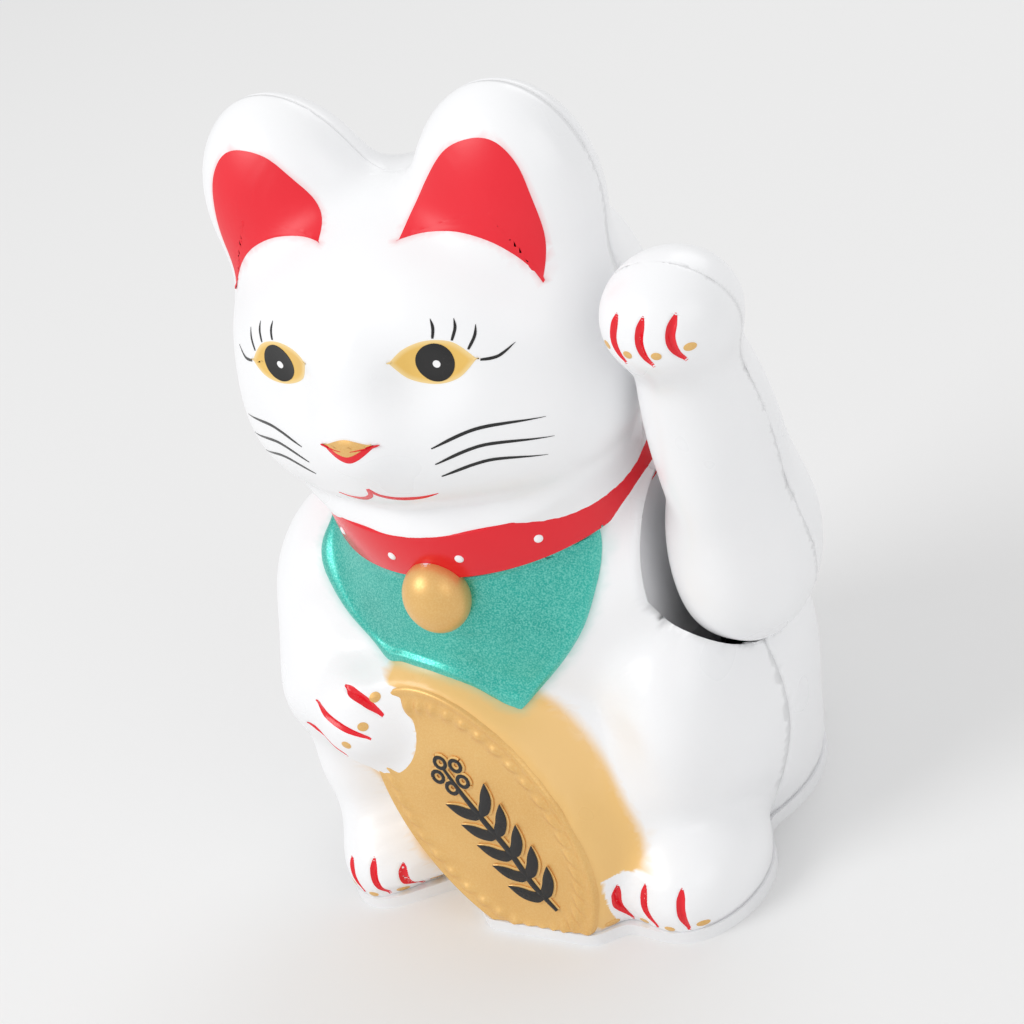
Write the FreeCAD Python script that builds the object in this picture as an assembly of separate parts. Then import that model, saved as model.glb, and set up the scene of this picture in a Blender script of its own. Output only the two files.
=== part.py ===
import FreeCAD, Part
import math
import os

# A battery-driven beckoning cat, sitting. Millimetres, +Z up, the cat faces -Y.
# The origin is the middle of the flat underside. The cat's left is +X.

V = FreeCAD.Vector

# ---------------------------------------------------------------- driving dimensions
WALL = 2.0                 # moulded wall of the shells and of the arm
PLATE = 3.0                # thickness of the base plate, which the shells stand on
RIM = 0.7                  # how far the base plate shows round the shells
PARTING_Y = -15.0          # plane where front and rear shell meet

PIVOT_X = 58.8             # middle of the waving arm's lower end
PIVOT_Y = -9.0
PIVOT_Z = 78.0
ARM_LEAN = 15.7            # the arm leans forward by this angle, degrees
ARM_REACH = 76.0           # from the pivot to the middle of the paw
PAW_OUT = 8.0              # how much further out the paw is than the pivot
BULB_R = 21.5              # radius of the arm's lower end about the pivot
SLOT_GAP = 1.5             # gap between the arm's lower end and the opening

AXLE_R = 1.5
BEARING_GAP = 0.05         # running fit of the axle in the frame, on the radius
LEVER_LEAN = 11.7          # the pendulum hangs back by this angle, which balances the arm
WEIGHT_REACH = 40.0        # from the pivot to the middle of the counterweight
MAGNET_REACH = 51.0        # from the pivot to the top of the magnet

CELL_R = 7.1               # AA cell
CELL_LENGTH = 50.5
CELL_PITCH = 15.5
BAY_Y = 17.5               # middle of the battery bay

OUT = "parts"


def write(name, shape):
    """Writes one sub-part and says what was made."""
    shape.exportStep(os.path.join(OUT, name + ".step"))
    print(f"{name}: {len(shape.Solids)} solids, {shape.Volume / 1000:.2f} cm3, valid {shape.isValid()}")


def box(x0, x1, y0, y1, z0, z1):
    return Part.makeBox(x1 - x0, y1 - y0, z1 - z0, V(x0, y0, z0))


def rod(radius, start, end):
    """A cylinder from one point to another."""
    start, end = V(*start), V(*end)
    return Part.makeCylinder(radius, (end - start).Length, start, end - start)


# ---------------------------------------------------------------- form of the moulded figure
# The figure is a set of rounded lumps that run into each other. Each lump is a function that gives
# the distance from a point to its surface, negative inside, and blend() joins two of them smoothly.

def turn_rows(turn):
    """Rows of the matrix that takes a direction into a lump turned about X, then Y, then Z."""
    back = FreeCAD.Rotation(turn[2], turn[1], turn[0]).inverted()
    columns = [back.multVec(V(*axis)) for axis in ((1, 0, 0), (0, 1, 0), (0, 0, 1))]
    return [[column[row] for column in columns] for row in range(3)]


def lump(centre, radii, turn=(0, 0, 0)):
    """An ellipsoid."""
    cx, cy, cz = centre
    rx, ry, rz = radii
    (a, b, c), (d, e, f), (g, h, i) = turn_rows(turn)

    def distance(x, y, z):
        x, y, z = x - cx, y - cy, z - cz
        u = (a * x + b * y + c * z) / rx
        v = (d * x + e * y + f * z) / ry
        w = (g * x + h * y + i * z) / rz
        k0 = math.sqrt(u * u + v * v + w * w)
        k1 = math.sqrt(u * u / rx ** 2 + v * v / ry ** 2 + w * w / rz ** 2)
        return k0 * (k0 - 1) / max(k1, 1e-9)

    distance.centre = centre
    distance.reach = max(radii)
    return distance


def band(centre, radius_x, radius_y, half_height, tilt):
    """A low elliptical drum, tilted about X: the raised collar."""
    cx, cy, cz = centre
    cos, sin = math.cos(math.radians(tilt)), math.sin(math.radians(tilt))

    def distance(x, y, z):
        y, z = y - cy, z - cz
        side = math.hypot((x - cx) / radius_x, (y * cos + z * sin) / radius_y)
        return max((side - 1) * radius_y, abs(z * cos - y * sin) - half_height)

    distance.centre = centre
    distance.reach = math.hypot(max(radius_x, radius_y), half_height)
    return distance


def drum(centre, radius, half_width, rounding):
    """A short round bar along X with rounded edges."""
    cx, cy, cz = centre

    def distance(x, y, z):
        out = math.hypot(y - cy, z - cz) - radius + rounding
        aside = abs(x - cx) - half_width + rounding
        return math.hypot(max(out, 0.0), max(aside, 0.0)) + min(max(out, aside), 0.0) - rounding

    distance.centre = centre
    distance.reach = math.hypot(radius, half_width)
    return distance


def coin_block(centre, radii, depth, flare, turn):
    """The oval plaque at the belly: an oval front face whose side slopes out to the body."""
    cx, cy, cz = centre
    rx, rz = radii
    (a, b, c), (d, e, f), (g, h, i) = turn_rows(turn)

    def distance(x, y, z):
        x, y, z = x - cx, y - cy, z - cz
        u = a * x + b * y + c * z
        v = d * x + e * y + f * z
        w = g * x + h * y + i * z
        grow = flare * min(max(v, 0.0), depth)
        side = (math.hypot(u / (rx + grow), w / (rz + grow)) - 1) * (rx + grow)
        return max(side, -v, v - depth)

    distance.centre = centre
    distance.reach = math.hypot(max(radii) + flare * depth, depth)
    return distance


def hollow(form):
    """Marks a lump as one that is pressed into the figure instead of added to it."""
    form.pressed = True
    return form


def blend(a, b, softness):
    """The smaller of two distances, rounded where they are nearly equal."""
    if softness <= 0:
        return min(a, b)
    near = max(softness - abs(a - b), 0.0) / softness
    return min(a, b) - near * near * softness / 4


def field(lumps):
    """One distance function for a list of (lump, softness of its join)."""
    def distance(x, y, z):
        found = 1e9
        for one, softness in lumps:
            cx, cy, cz = one.centre
            away = math.sqrt((x - cx) ** 2 + (y - cy) ** 2 + (z - cz) ** 2) - one.reach
            if getattr(one, "pressed", False):
                found = -blend(-found, one(x, y, z), softness)
            elif away < found + softness:
                found = blend(found, one(x, y, z), softness)
        return found
    return distance


def pair(centre, radii, turn, softness):
    """A lump and its mirror image on the cat's other side."""
    x, y, z = centre
    rx, ry, rz = turn
    return [(lump(centre, radii, turn), softness), (lump((-x, y, z), radii, (rx, -ry, -rz)), softness)]


KOBAN_CENTRE = (-2, -57, 31)
KOBAN_RADII = (23, 38)
KOBAN_TURN = (-7, -30, 0)
KOBAN_DEPTH = 16.0
KOBAN_FLARE = 0.55

TORSO = [
    (lump((0, 2, 56), (50, 43, 60)), 0),
    (lump((0, 3, 14), (53, 43, 40)), 10),
    *pair((40, -9, 42), (20.5, 37, 33), (0, 0, 0), 10),           # haunches
    *pair((39.5, -37, 8), (16, 22, 15), (0, 0, 0), 5),            # feet
    (lump((-46, -28, 30), (14, 20, 20)), 10),                     # right thigh, under the arm
    (lump((31, -33, 27), (13, 14, 13)), 9),                       # left thigh, beside the plaque
    (lump((-45.5, -15, 68), (20, 26, 28), (0, 12, 0)), 12),       # right upper arm
    (lump((-40.5, -33, 56), (14, 21, 14), (0, 0, -20)), 13),      # right forearm
    (lump((-30, -49, 54), (13, 11, 13)), 4),                      # right paw
    (lump((37, -8, 80), (20, 26, 22), (0, -12, 0)), 8),           # left shoulder
    (lump((0, -7, 96), (38, 36, 16)), 10),                        # neck
    (lump((-2, -20, 74), (37, 27, 33)), 12),                      # chest
    (coin_block(KOBAN_CENTRE, KOBAN_RADII, KOBAN_DEPTH, KOBAN_FLARE, KOBAN_TURN), 5),
]
COLLAR_TILT = 9.4
COLLAR = [
    (band((0, -11.5, 104.7), 41, 37.6, 6.3, COLLAR_TILT), 0.6),
]
BELL_CENTRE = (0, -49.0, 88.5)
BELL_RADII = (7.5, 6.5, 8.5)
HEAD = [
    (lump((0, -15, 140), (49.5, 41, 36)), 2),
    (lump((0, -38, 128), (24, 20, 18.5)), 12),                    # muzzle
    (hollow(lump((20, -61, 147), (13, 11, 10))), 5),              # left eye socket
    (hollow(lump((-20, -61, 147), (13, 11, 10))), 5),             # right eye socket
    (lump((0, -47, 142), (6.5, 9, 14)), 9),                       # bridge of the nose
    (lump((0, -51, 132), (8, 10.5, 7)), 8),                       # nose
    *pair((22.5, -25, 125), (23.5, 22, 18), (0, 0, 0), 12),       # cheeks
    *pair((27, -16, 168.5), (22, 16, 28), (0, 11, 0), 7),         # ears
]
figure = field(TORSO + COLLAR + HEAD)

def along_arm(reach, forward=0.0, outward=0.0):
    """A point of the arm: reach from the pivot towards the paw, forward square to that."""
    lean = math.radians(ARM_LEAN)
    return (PIVOT_X + PAW_OUT * reach / ARM_REACH + outward,
            PIVOT_Y - reach * math.sin(lean) - forward * math.cos(lean),
            PIVOT_Z + reach * math.cos(lean) - forward * math.sin(lean))


ARM = [
    (lump(along_arm(0), (13.4, BULB_R, BULB_R)), 0),
    (drum(along_arm(0, 0, -3.5), BULB_R, 9.5, 8.0), 3),
    (lump(along_arm(22), (12.6, 18.5, 30), (ARM_LEAN, 5, 0)), 10),
    (lump(along_arm(50), (12.6, 14, 27), (ARM_LEAN, 6, 0)), 10),
    (lump(along_arm(74, 1), (15, 15.5, 13.5)), 6),
]
arm_form = field(ARM)


# ---------------------------------------------------------------- turning a form into a surface
SKY = 130.0                # every ray starts this far out


def skin_point(form, level, origin, direction):
    """Where a ray that comes in along -direction meets the surface of the form moved out by level."""
    ox, oy, oz = origin
    dx, dy, dz = direction
    t = SKY
    gap = form(ox + t * dx, oy + t * dy, oz + t * dz) - level
    outside = t
    while gap > 0.01 and t > 0:
        outside = t
        t -= max(0.7 * gap, 0.02)
        gap = form(ox + t * dx, oy + t * dy, oz + t * dz) - level
    inside = max(t, 0.0)
    for _ in range(10):
        middle = (inside + outside) / 2
        if form(ox + middle * dx, oy + middle * dy, oz + middle * dz) > level:
            outside = middle
        else:
            inside = middle
    return V(ox + inside * dx, oy + inside * dy, oz + inside * dz)


def half_turn(count, rear):
    """Angles from one side of the parting plane to the other, closer together at the ends."""
    steps = [0, 0.3] + list(range(1, count)) + [count - 0.3, count]
    start = 0.0 if rear else -math.pi
    return [start + math.pi * step / count for step in steps]


def spline_patch(grid):
    """A smooth surface that is drawn by a net of points, ending exactly on the net's edges."""
    rows, columns = len(grid), len(grid[0])
    patch = Part.BSplineSurface()

    def knots(count):
        return list(range(count - 2)), [4] + [1] * (count - 4) + [4]

    (row_knots, row_mults), (column_knots, column_mults) = knots(rows), knots(columns)
    patch.buildFromPolesMultsKnots(grid, row_mults, column_mults, row_knots, column_knots,
                                   False, False, 3, 3)
    return patch


def edge_of(patch, side):
    """One boundary of a patch as an edge: the first or last row or column."""
    u0, u1, v0, v1 = patch.bounds()
    if side == "first_row":
        return patch.uIso(u0).toShape()
    if side == "last_row":
        return patch.uIso(u1).toShape()
    if side == "first_column":
        return patch.vIso(v0).toShape()
    return patch.vIso(v1).toShape()


def line(a, b):
    return Part.LineSegment(a, b).toShape()


def flat_face(edges):
    return Part.Face(Part.Wire(Part.__sortEdges__(edges)))


def sewn(faces, name):
    """A solid from faces that meet edge to edge."""
    shell = Part.Shell(faces)
    shell.sewShape()
    solid = Part.Solid(Part.Shell(shell.Faces) if shell.ShapeType != "Shell" else shell)
    if solid.Volume < 0:
        solid.reverse()
    print(f"  {name}: closed {solid.isClosed()}, valid {solid.isValid()}, {solid.Volume / 1000:.2f} cm3")
    return solid


# ---------------------------------------------------------------- front and rear shell
def ease(value, start, end):
    """0 before start, 1 after end, smooth between."""
    t = min(max((value - start) / (end - start), 0.0), 1.0)
    return t * t * (3 - 2 * t)


def figure_rows():
    """(height of the row's middle, elevation, tilt) from the base plate to the crown.

    Rows lie level at the seat, look up at the shoulders, tilt with the collar, and fan out over the head."""
    collar_slope = math.tan(math.radians(COLLAR_TILT))
    rows = []
    height = PLATE
    while height < 95:
        elevation = 35.0 * ease(height, 46, 66) * (1 - ease(height, 84, 96))
        middle = height - 45.0 * math.tan(math.radians(elevation))
        rows.append((middle, elevation, ease(height, 60, 95) * collar_slope))
        height += 2.4
    for step in range(11):
        rows.append((96.0 + 1.5 * step, 0.0, collar_slope))
    elevation = -30.5
    while elevation < 89:
        rows.append((138.0, elevation, 0.25 * max(0.0, -elevation) / 30.5))
        elevation += 3.0
    rows.append((138.0, 90.0, 0.0))
    return rows


def figure_grid(level, rear):
    grid = []
    for height, elevation, tilt in figure_rows():
        cos, sin = math.cos(math.radians(elevation)), math.sin(math.radians(elevation))
        row = []
        for angle in half_turn(52, rear):
            across = math.cos(angle) * cos
            along = math.sin(angle) * cos if abs(math.sin(angle)) > 1e-9 else 0.0
            ray = (across, along, sin + tilt * along)
            row.append(skin_point(figure, level, (0, PARTING_Y, height), ray))
        grid.append(row)
    grid[-1] = [grid[-1][0]] * len(grid[-1])
    return grid


def half_figure(rear, name):
    """One half of the figure: its skin as a closed solid with its hollow, and the same half filled."""
    outer = spline_patch(figure_grid(0.0, rear))
    inner = spline_patch(figure_grid(-WALL, rear))
    sides = ("first_column", "last_column", "first_row")
    out_a, out_b, out_foot = [edge_of(outer, side) for side in sides]
    in_a, in_b, in_foot = [edge_of(inner, side) for side in sides]
    foot_a = line(out_a.Vertexes[0].Point, in_a.Vertexes[0].Point)
    foot_b = line(out_b.Vertexes[0].Point, in_b.Vertexes[0].Point)
    across = line(out_a.Vertexes[0].Point, out_b.Vertexes[0].Point)
    arch = flat_face([out_a, out_b, foot_b, in_b, in_a, foot_a])
    foot = flat_face([out_foot, foot_a, in_foot, foot_b])
    shell = sewn([outer.toShape(), inner.toShape(), arch, foot], name)
    filled = sewn([outer.toShape(), flat_face([out_a, out_b, across]), flat_face([out_foot, across])],
                  name + " filled")
    return shell, filled


def slot_cutter():
    """The opening at the left shoulder in which the arm swings."""
    radius = BULB_R + SLOT_GAP
    round_part = rod(radius, (41.5, PIVOT_Y, PIVOT_Z), (90, PIVOT_Y, PIVOT_Z))
    way_up = box(42.5, 90, -radius, radius, 0, 27)
    way_up.rotate(V(0, 0, 0), V(1, 0, 0), ARM_LEAN)
    way_up.translate(V(0, PIVOT_Y, PIVOT_Z))
    return round_part.fuse(way_up)


FRONT_BOSSES = ((-50.5, -36), (50.5, -36))
REAR_BOSSES = ((-39, 27), (39, 27))
BOSS_R = 3.6
PILOT_R = 1.1
SCREW_R = 1.5


def with_bosses(shell, filled, places, height):
    """The shell with a screw boss at each place, which runs up from the base plate into the wall."""
    for x, y in places:
        post = rod(BOSS_R, (x, y, PLATE), (x, y, height)).common(filled)
        shell = shell.fuse(post)
    for x, y in places:
        shell = shell.cut(rod(PILOT_R, (x, y, PLATE - 1), (x, y, PLATE + 10)))
    return shell


def bell():
    """The bell on the collar, moulded with the front shell: a ball drawn out to an egg."""
    stretch = FreeCAD.Matrix()
    stretch.scale(V(*BELL_RADII))
    ball = Part.makeSphere(1.0).transformGeometry(stretch)
    ball.translate(V(*BELL_CENTRE))
    return ball


def make_shells():
    front, front_filled = half_figure(False, "front_shell")
    rear, rear_filled = half_figure(True, "rear_shell")
    slot = slot_cutter()
    front = front.fuse(bell().cut(front_filled)).cut(slot)
    front = with_bosses(front, front_filled, FRONT_BOSSES, 14)
    rear = with_bosses(rear.cut(slot), rear_filled, REAR_BOSSES, 16)
    write("front_shell", front)
    write("rear_shell", rear)


# ---------------------------------------------------------------- waving arm
def arm_rows():
    """(reach, elevation) from the lower pole of the arm, along it, and over the paw."""
    rows = [(0.0, -90.0 + 7.5 * step) for step in range(12)]
    rows += [(3.0 * step, 0.0) for step in range(25)]
    rows += [(72.0, 7.5 * step) for step in range(1, 13)]
    return rows


def arm_grid(level, rear):
    lean = math.radians(ARM_LEAN)
    grid = []
    for reach, elevation in arm_rows():
        cos, sin = math.cos(math.radians(elevation)), math.sin(math.radians(elevation))
        row = []
        for angle in half_turn(26, rear):
            across = math.cos(angle) * cos
            along = math.sin(angle) * cos if abs(math.sin(angle)) > 1e-9 else 0.0
            ray = (across, along * math.cos(lean) - sin * math.sin(lean),
                   along * math.sin(lean) + sin * math.cos(lean))
            row.append(skin_point(arm_form, level, along_arm(reach), ray))
        grid.append(row)
    for end in (0, -1):
        grid[end] = [grid[end][0]] * len(grid[end])
    return grid


HUB_R = 4.6
HUB_START = 41.0           # the hub stands out of the arm towards the frame
HUB_END = 60.0


def half_space(rear):
    """A big block on one side of the plane that parts the arm."""
    block = box(0, 120, 0, 80, -80, 120) if rear else box(0, 120, -80, 0, -80, 120)
    block.rotate(V(0, 0, 0), V(1, 0, 0), ARM_LEAN)
    block.translate(V(0, PIVOT_Y, PIVOT_Z))
    return block


def half_arm(rear, name):
    outer = spline_patch(arm_grid(0.0, rear))
    inner = spline_patch(arm_grid(-WALL, rear))
    sides = ("first_column", "last_column")
    out_loop = Part.Wire(Part.__sortEdges__([edge_of(outer, side) for side in sides]))
    in_loop = Part.Wire(Part.__sortEdges__([edge_of(inner, side) for side in sides]))
    ring = Part.Face(out_loop).cut(Part.Face(in_loop)).Faces[0]
    shell = sewn([outer.toShape(), inner.toShape(), ring], name)
    hub = rod(HUB_R, (HUB_START, PIVOT_Y, PIVOT_Z), (HUB_END, PIVOT_Y, PIVOT_Z)).common(half_space(rear))
    bore = rod(AXLE_R, (HUB_START - 1, PIVOT_Y, PIVOT_Z), (AXLE_END, PIVOT_Y, PIVOT_Z))
    return shell.fuse(hub).cut(bore)


AXLE_START = 14.5
AXLE_END = 58.0


def make_arm():
    write("arm_front_half", half_arm(False, "arm_front_half"))
    write("arm_rear_half", half_arm(True, "arm_rear_half"))


# ---------------------------------------------------------------- pendulum drive
UPRIGHTS = ((18.0, 20.5), (36.0, 38.5))
FRAME_Y = (-17.0, -1.0)
FRAME_SCREWS = ((15.2, -9.0), (28.3, -5.0))
WEB_TOP = 22.0             # the front web stays under the magnet's way
LEVER_X = (21.3, 35.2)
LEVER_WEB = (26.5, 30.5)
LEVER_MIDDLE = (LEVER_WEB[0] + LEVER_WEB[1]) / 2
WEIGHT_R = 8.0
WEIGHT_X = (22.0, 34.8)
MAGNET_R = 5.0
MAGNET_THICK = 3.0
RING_R = 3.4


def hung(shape):
    """Takes a shape modelled with the pivot at the origin and -Z down the lever to its place."""
    shape.rotate(V(0, 0, 0), V(1, 0, 0), LEVER_LEAN)
    shape.translate(V(0, PIVOT_Y, PIVOT_Z))
    return shape


def make_pendulum():
    axle = rod(AXLE_R, (AXLE_START, PIVOT_Y, PIVOT_Z), (AXLE_END, PIVOT_Y, PIVOT_Z))
    write("axle", axle)
    rings = [rod(RING_R, (x0, PIVOT_Y, PIVOT_Z), (x1, PIVOT_Y, PIVOT_Z)).cut(axle)
             for x0, x1 in ((15.2, 17.4), (38.9, 40.7))]
    write("axle_rings", Part.makeCompound(rings))

    web_depth = WEIGHT_REACH + WEIGHT_R
    lever = rod(HUB_R, (LEVER_X[0], 0, 0), (LEVER_X[1], 0, 0))
    lever = lever.fuse(box(*LEVER_WEB, -5, 5, -web_depth, 0))
    cage = rod(WEIGHT_R + 1.6, (LEVER_WEB[0], 0, -WEIGHT_REACH), (LEVER_WEB[1], 0, -WEIGHT_REACH))
    cup = rod(MAGNET_R + 1.4, (LEVER_MIDDLE, 0, -MAGNET_REACH - MAGNET_THICK),
              (LEVER_MIDDLE, 0, -web_depth + 2))
    lever = lever.fuse(cage).fuse(cup)
    weight = rod(WEIGHT_R, (WEIGHT_X[0], 0, -WEIGHT_REACH), (WEIGHT_X[1], 0, -WEIGHT_REACH))
    magnet = rod(MAGNET_R, (LEVER_MIDDLE, 0, -MAGNET_REACH - MAGNET_THICK), (LEVER_MIDDLE, 0, -MAGNET_REACH))
    lever = lever.cut(weight).cut(magnet).cut(rod(AXLE_R, (0, 0, 0), (60, 0, 0)))
    write("pendulum_lever", hung(lever))
    write("counterweight", hung(weight))
    write("magnet", hung(magnet))


def make_frame():
    """The cradle that carries the axle: two uprights on a foot, tied by a web at the front."""
    y0, y1 = FRAME_Y
    (a0, a1), (b0, b1) = UPRIGHTS
    frame = box(a0 - 5, b1 + 2.5, y0, y1, PLATE, PLATE + 2.5)
    for x0, x1 in UPRIGHTS:
        frame = frame.fuse(box(x0, x1, y0, y1, PLATE, PIVOT_Z))
        frame = frame.fuse(rod(8.0, (x0, PIVOT_Y, PIVOT_Z), (x1, PIVOT_Y, PIVOT_Z)))
    frame = frame.fuse(box(a0, b1, y0, y0 + 2.2, PLATE, WEB_TOP))
    frame = frame.cut(rod(AXLE_R + BEARING_GAP, (0, PIVOT_Y, PIVOT_Z), (60, PIVOT_Y, PIVOT_Z)))
    for x, y in FRAME_SCREWS:
        frame = frame.cut(rod(SCREW_R, (x, y, 0), (x, y, PLATE + 3)))
    write("swing_frame", frame.removeSplitter())


# ---------------------------------------------------------------- screws
HEAD_R = 2.7
HEAD_THICK = 1.6


def screw(x, y, seat_z, tip_z):
    """A cross-head screw along Z: its head starts at seat_z and faces away from its tip."""
    up = 1 if seat_z > tip_z else -1
    head = Part.makeCylinder(HEAD_R, HEAD_THICK, V(x, y, seat_z), V(0, 0, up))
    z0, z1 = sorted((seat_z + up * 0.7, seat_z + up * 2.0))
    head = head.cut(box(x - 1.7, x + 1.7, y - 0.35, y + 0.35, z0, z1))
    head = head.cut(box(x - 0.35, x + 0.35, y - 1.7, y + 1.7, z0, z1))
    shank = Part.makeCylinder(PILOT_R, abs(seat_z - tip_z), V(x, y, seat_z), V(0, 0, -up))
    return head.fuse(shank)


# ---------------------------------------------------------------- base plate and battery door
BAY_X = (-28.6, 28.6)
BAY_INNER_Y = (BAY_Y - 15.3, BAY_Y + 15.3)
BAY_TOP = 18.0
BAY_WALL = 1.5
DOOR_HALF = 30.0
DOOR_Y0 = -1.0
DOOR_Z = (0.3, 1.5)
TONGUE_Z = (0.7, 1.3)
TONGUE_OUT = 1.2
DOOR_GAP = 0.3
SWITCH_X = -10.0
SWITCH_Y = -27.0
BOARD_Z = BAY_TOP + BAY_WALL
BOARD_THICK = 1.6
BOARD_TOP = BOARD_Z + BOARD_THICK
BOARD_SCREW = (37.5, 15.0)
CELL_Y = (BAY_Y - CELL_PITCH / 2, BAY_Y + CELL_PITCH / 2)
BEHIND = 70.0              # well behind the figure, where the door's way runs out


def plate_outline(level):
    """A closed wire round the foot of the figure at the underside, moved out by level."""
    points = []
    for rear in (True, False):
        for angle in half_turn(36, rear)[:-1]:
            ray = (math.cos(angle), math.sin(angle), 0.0)
            point = skin_point(figure, level, (0, PARTING_Y, PLATE), ray)
            points.append(V(point.x, point.y, 0))
    curve = Part.BSplineCurve()
    curve.buildFromPoles(points, True, 3)
    return Part.Wire([curve.toShape()])


def make_base():
    y0, y1 = BAY_INNER_Y
    plate = Part.Face(plate_outline(RIM)).extrude(V(0, 0, PLATE))
    plate = plate.fuse(box(BAY_X[0] - BAY_WALL, BAY_X[1] + BAY_WALL, y0 - BAY_WALL, y1 + BAY_WALL,
                           PLATE, BOARD_Z))
    plate = plate.cut(box(*BAY_X, y0, y1, -1, BAY_TOP))
    plate = plate.cut(box(-DOOR_HALF - DOOR_GAP, DOOR_HALF + DOOR_GAP, DOOR_Y0 - DOOR_GAP, BEHIND,
                          -1, DOOR_Z[1] + DOOR_GAP))
    groove = DOOR_HALF + TONGUE_OUT + DOOR_GAP
    plate = plate.cut(box(-groove, groove, DOOR_Y0 - DOOR_GAP, BEHIND,
                          TONGUE_Z[0] - DOOR_GAP, TONGUE_Z[1] + DOOR_GAP))
    plate = plate.cut(box(SWITCH_X - 4.6, SWITCH_X + 4.6, SWITCH_Y - 2.4, SWITCH_Y + 2.4, -1, PLATE + 1))
    for x, y in FRONT_BOSSES + REAR_BOSSES:
        plate = plate.cut(rod(SCREW_R, (x, y, -1), (x, y, PLATE + 1)))
        plate = plate.cut(rod(HEAD_R + 0.3, (x, y, -1), (x, y, 1.8)))
    for x, y in FRAME_SCREWS:
        plate = plate.cut(rod(PILOT_R, (x, y, 0.8), (x, y, PLATE + 1)))
    for y in CELL_Y:
        plate = plate.cut(box(BAY_X[0], BAY_X[0] + 1.0, y - 2, y + 2, BAY_TOP - 1, BOARD_Z + 1))
    post = rod(2.6, (*BOARD_SCREW, PLATE), (*BOARD_SCREW, BOARD_Z))
    plate = plate.fuse(post).cut(rod(PILOT_R, (*BOARD_SCREW, 11), (*BOARD_SCREW, BOARD_Z + 1)))
    write("base_plate", plate.removeSplitter())

    door = box(-DOOR_HALF, DOOR_HALF, DOOR_Y0, BEHIND, *DOOR_Z)
    door = door.fuse(box(-DOOR_HALF - TONGUE_OUT, DOOR_HALF + TONGUE_OUT, DOOR_Y0, BEHIND, *TONGUE_Z))
    door = door.common(Part.Face(plate_outline(RIM - 0.1)).extrude(V(0, 0, PLATE)))
    for step in range(5):
        y = 33.0 - 2.4 * step
        door = door.cut(box(-9, 9, y - 0.5, y + 0.5, 0, DOOR_Z[0] + 0.4))
    write("battery_door", door.removeSplitter())

    write("base_screws", Part.makeCompound([screw(x, y, 1.8, 12.0) for x, y in FRONT_BOSSES + REAR_BOSSES]))
    write("frame_screws", Part.makeCompound([screw(x, y, PLATE + 2.5, 0.9) for x, y in FRAME_SCREWS]))
    write("board_screw", screw(*BOARD_SCREW, BOARD_TOP, 12.0))


# ---------------------------------------------------------------- cells and contacts
CONTACT_THICK = 0.5
CELL_SHIFT = 2.65          # each cell's raised end reaches the contact at its own end of the bay
SPRING_R = 3.2
SPRING_WIRE = 0.3


def cell(y, way):
    """An AA cell along X with its raised end towards way."""
    z = PLATE + CELL_R + 0.1
    end = way * (CELL_LENGTH / 2 + CELL_SHIFT)
    body = rod(CELL_R, (end - way * CELL_LENGTH, y, z), (end - way * 1.4, y, z))
    return body.fuse(rod(2.7, (end - way * 1.5, y, z), (end, y, z)))


def contact_spring(y, way):
    """The coil that presses on a cell's flat end, at the end of the bay that way names."""
    z = PLATE + CELL_R + 0.1
    length = 2 * CELL_SHIFT - 2 * SPRING_WIRE - 0.1
    path = Part.Wire(Part.makeHelix(length / 3.2, length, SPRING_R).Edges)
    section = Part.Wire([Part.makeCircle(SPRING_WIRE, V(SPRING_R, 0, 0), V(0, 1, 0))])
    spring = path.makePipeShell([section], True, True)
    spring.rotate(V(0, 0, 0), V(0, 1, 0), 90 * way)
    spring.translate(V(way * (CELL_LENGTH / 2 - CELL_SHIFT + SPRING_WIRE + 0.05), y, z))
    return spring


def make_battery():
    front_y, back_y = CELL_Y
    write("battery_cells", Part.makeCompound([cell(front_y, -1), cell(back_y, 1)]))
    write("contact_springs", Part.makeCompound([contact_spring(front_y, 1), contact_spring(back_y, -1)]))
    outer = CELL_LENGTH / 2 + CELL_SHIFT
    plates = []
    for y in CELL_Y:
        plate = box(-outer - CONTACT_THICK, -outer, y - 5, y + 5, 5, 15)
        plates.append(plate.fuse(box(-outer - CONTACT_THICK, -outer, y - 1.5, y + 1.5, 14, BOARD_Z + 2)))
    write("contact_plates", Part.makeCompound(plates))
    write("contact_bridge", box(outer, outer + CONTACT_THICK, front_y - 5, back_y + 5, 5, 15))


# ---------------------------------------------------------------- board, coil, switch, leads
BOARD_X = (4.0, 42.0)
BOARD_Y = (0.2, 30.0)
BOARD_CORNER = 10.0        # the board's outer rear corner is cut off by this much
COIL_R = 8.0
CORE_R = 2.5
FLANGE = 0.4
COIL_TOP = BOARD_TOP + 1.7
COIL_Y = PIVOT_Y + (MAGNET_REACH + MAGNET_THICK / 2) * math.sin(math.radians(LEVER_LEAN))
LEAD_R = 0.6


def lead(points, bend):
    """A wire along straight runs that meet in arcs of one radius."""
    points = [V(*point) for point in points]
    edges, start = [], points[0]
    for before, corner, after in zip(points, points[1:], points[2:]):
        into, out = (corner - before).normalize(), (after - corner).normalize()
        half = into.getAngle(out) / 2
        reach = bend * math.tan(half)
        a, b = corner - into * reach, corner + out * reach
        inward = (out - into).normalize()
        middle = corner + inward * (bend / math.cos(half) - bend)
        edges += [line(start, a), Part.Arc(a, middle, b).toShape()]
        start = b
    edges.append(line(start, points[-1]))
    section = Part.Wire([Part.makeCircle(LEAD_R, points[0], (points[1] - points[0]))])
    return Part.Wire(edges).makePipeShell([section], True, False)


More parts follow.
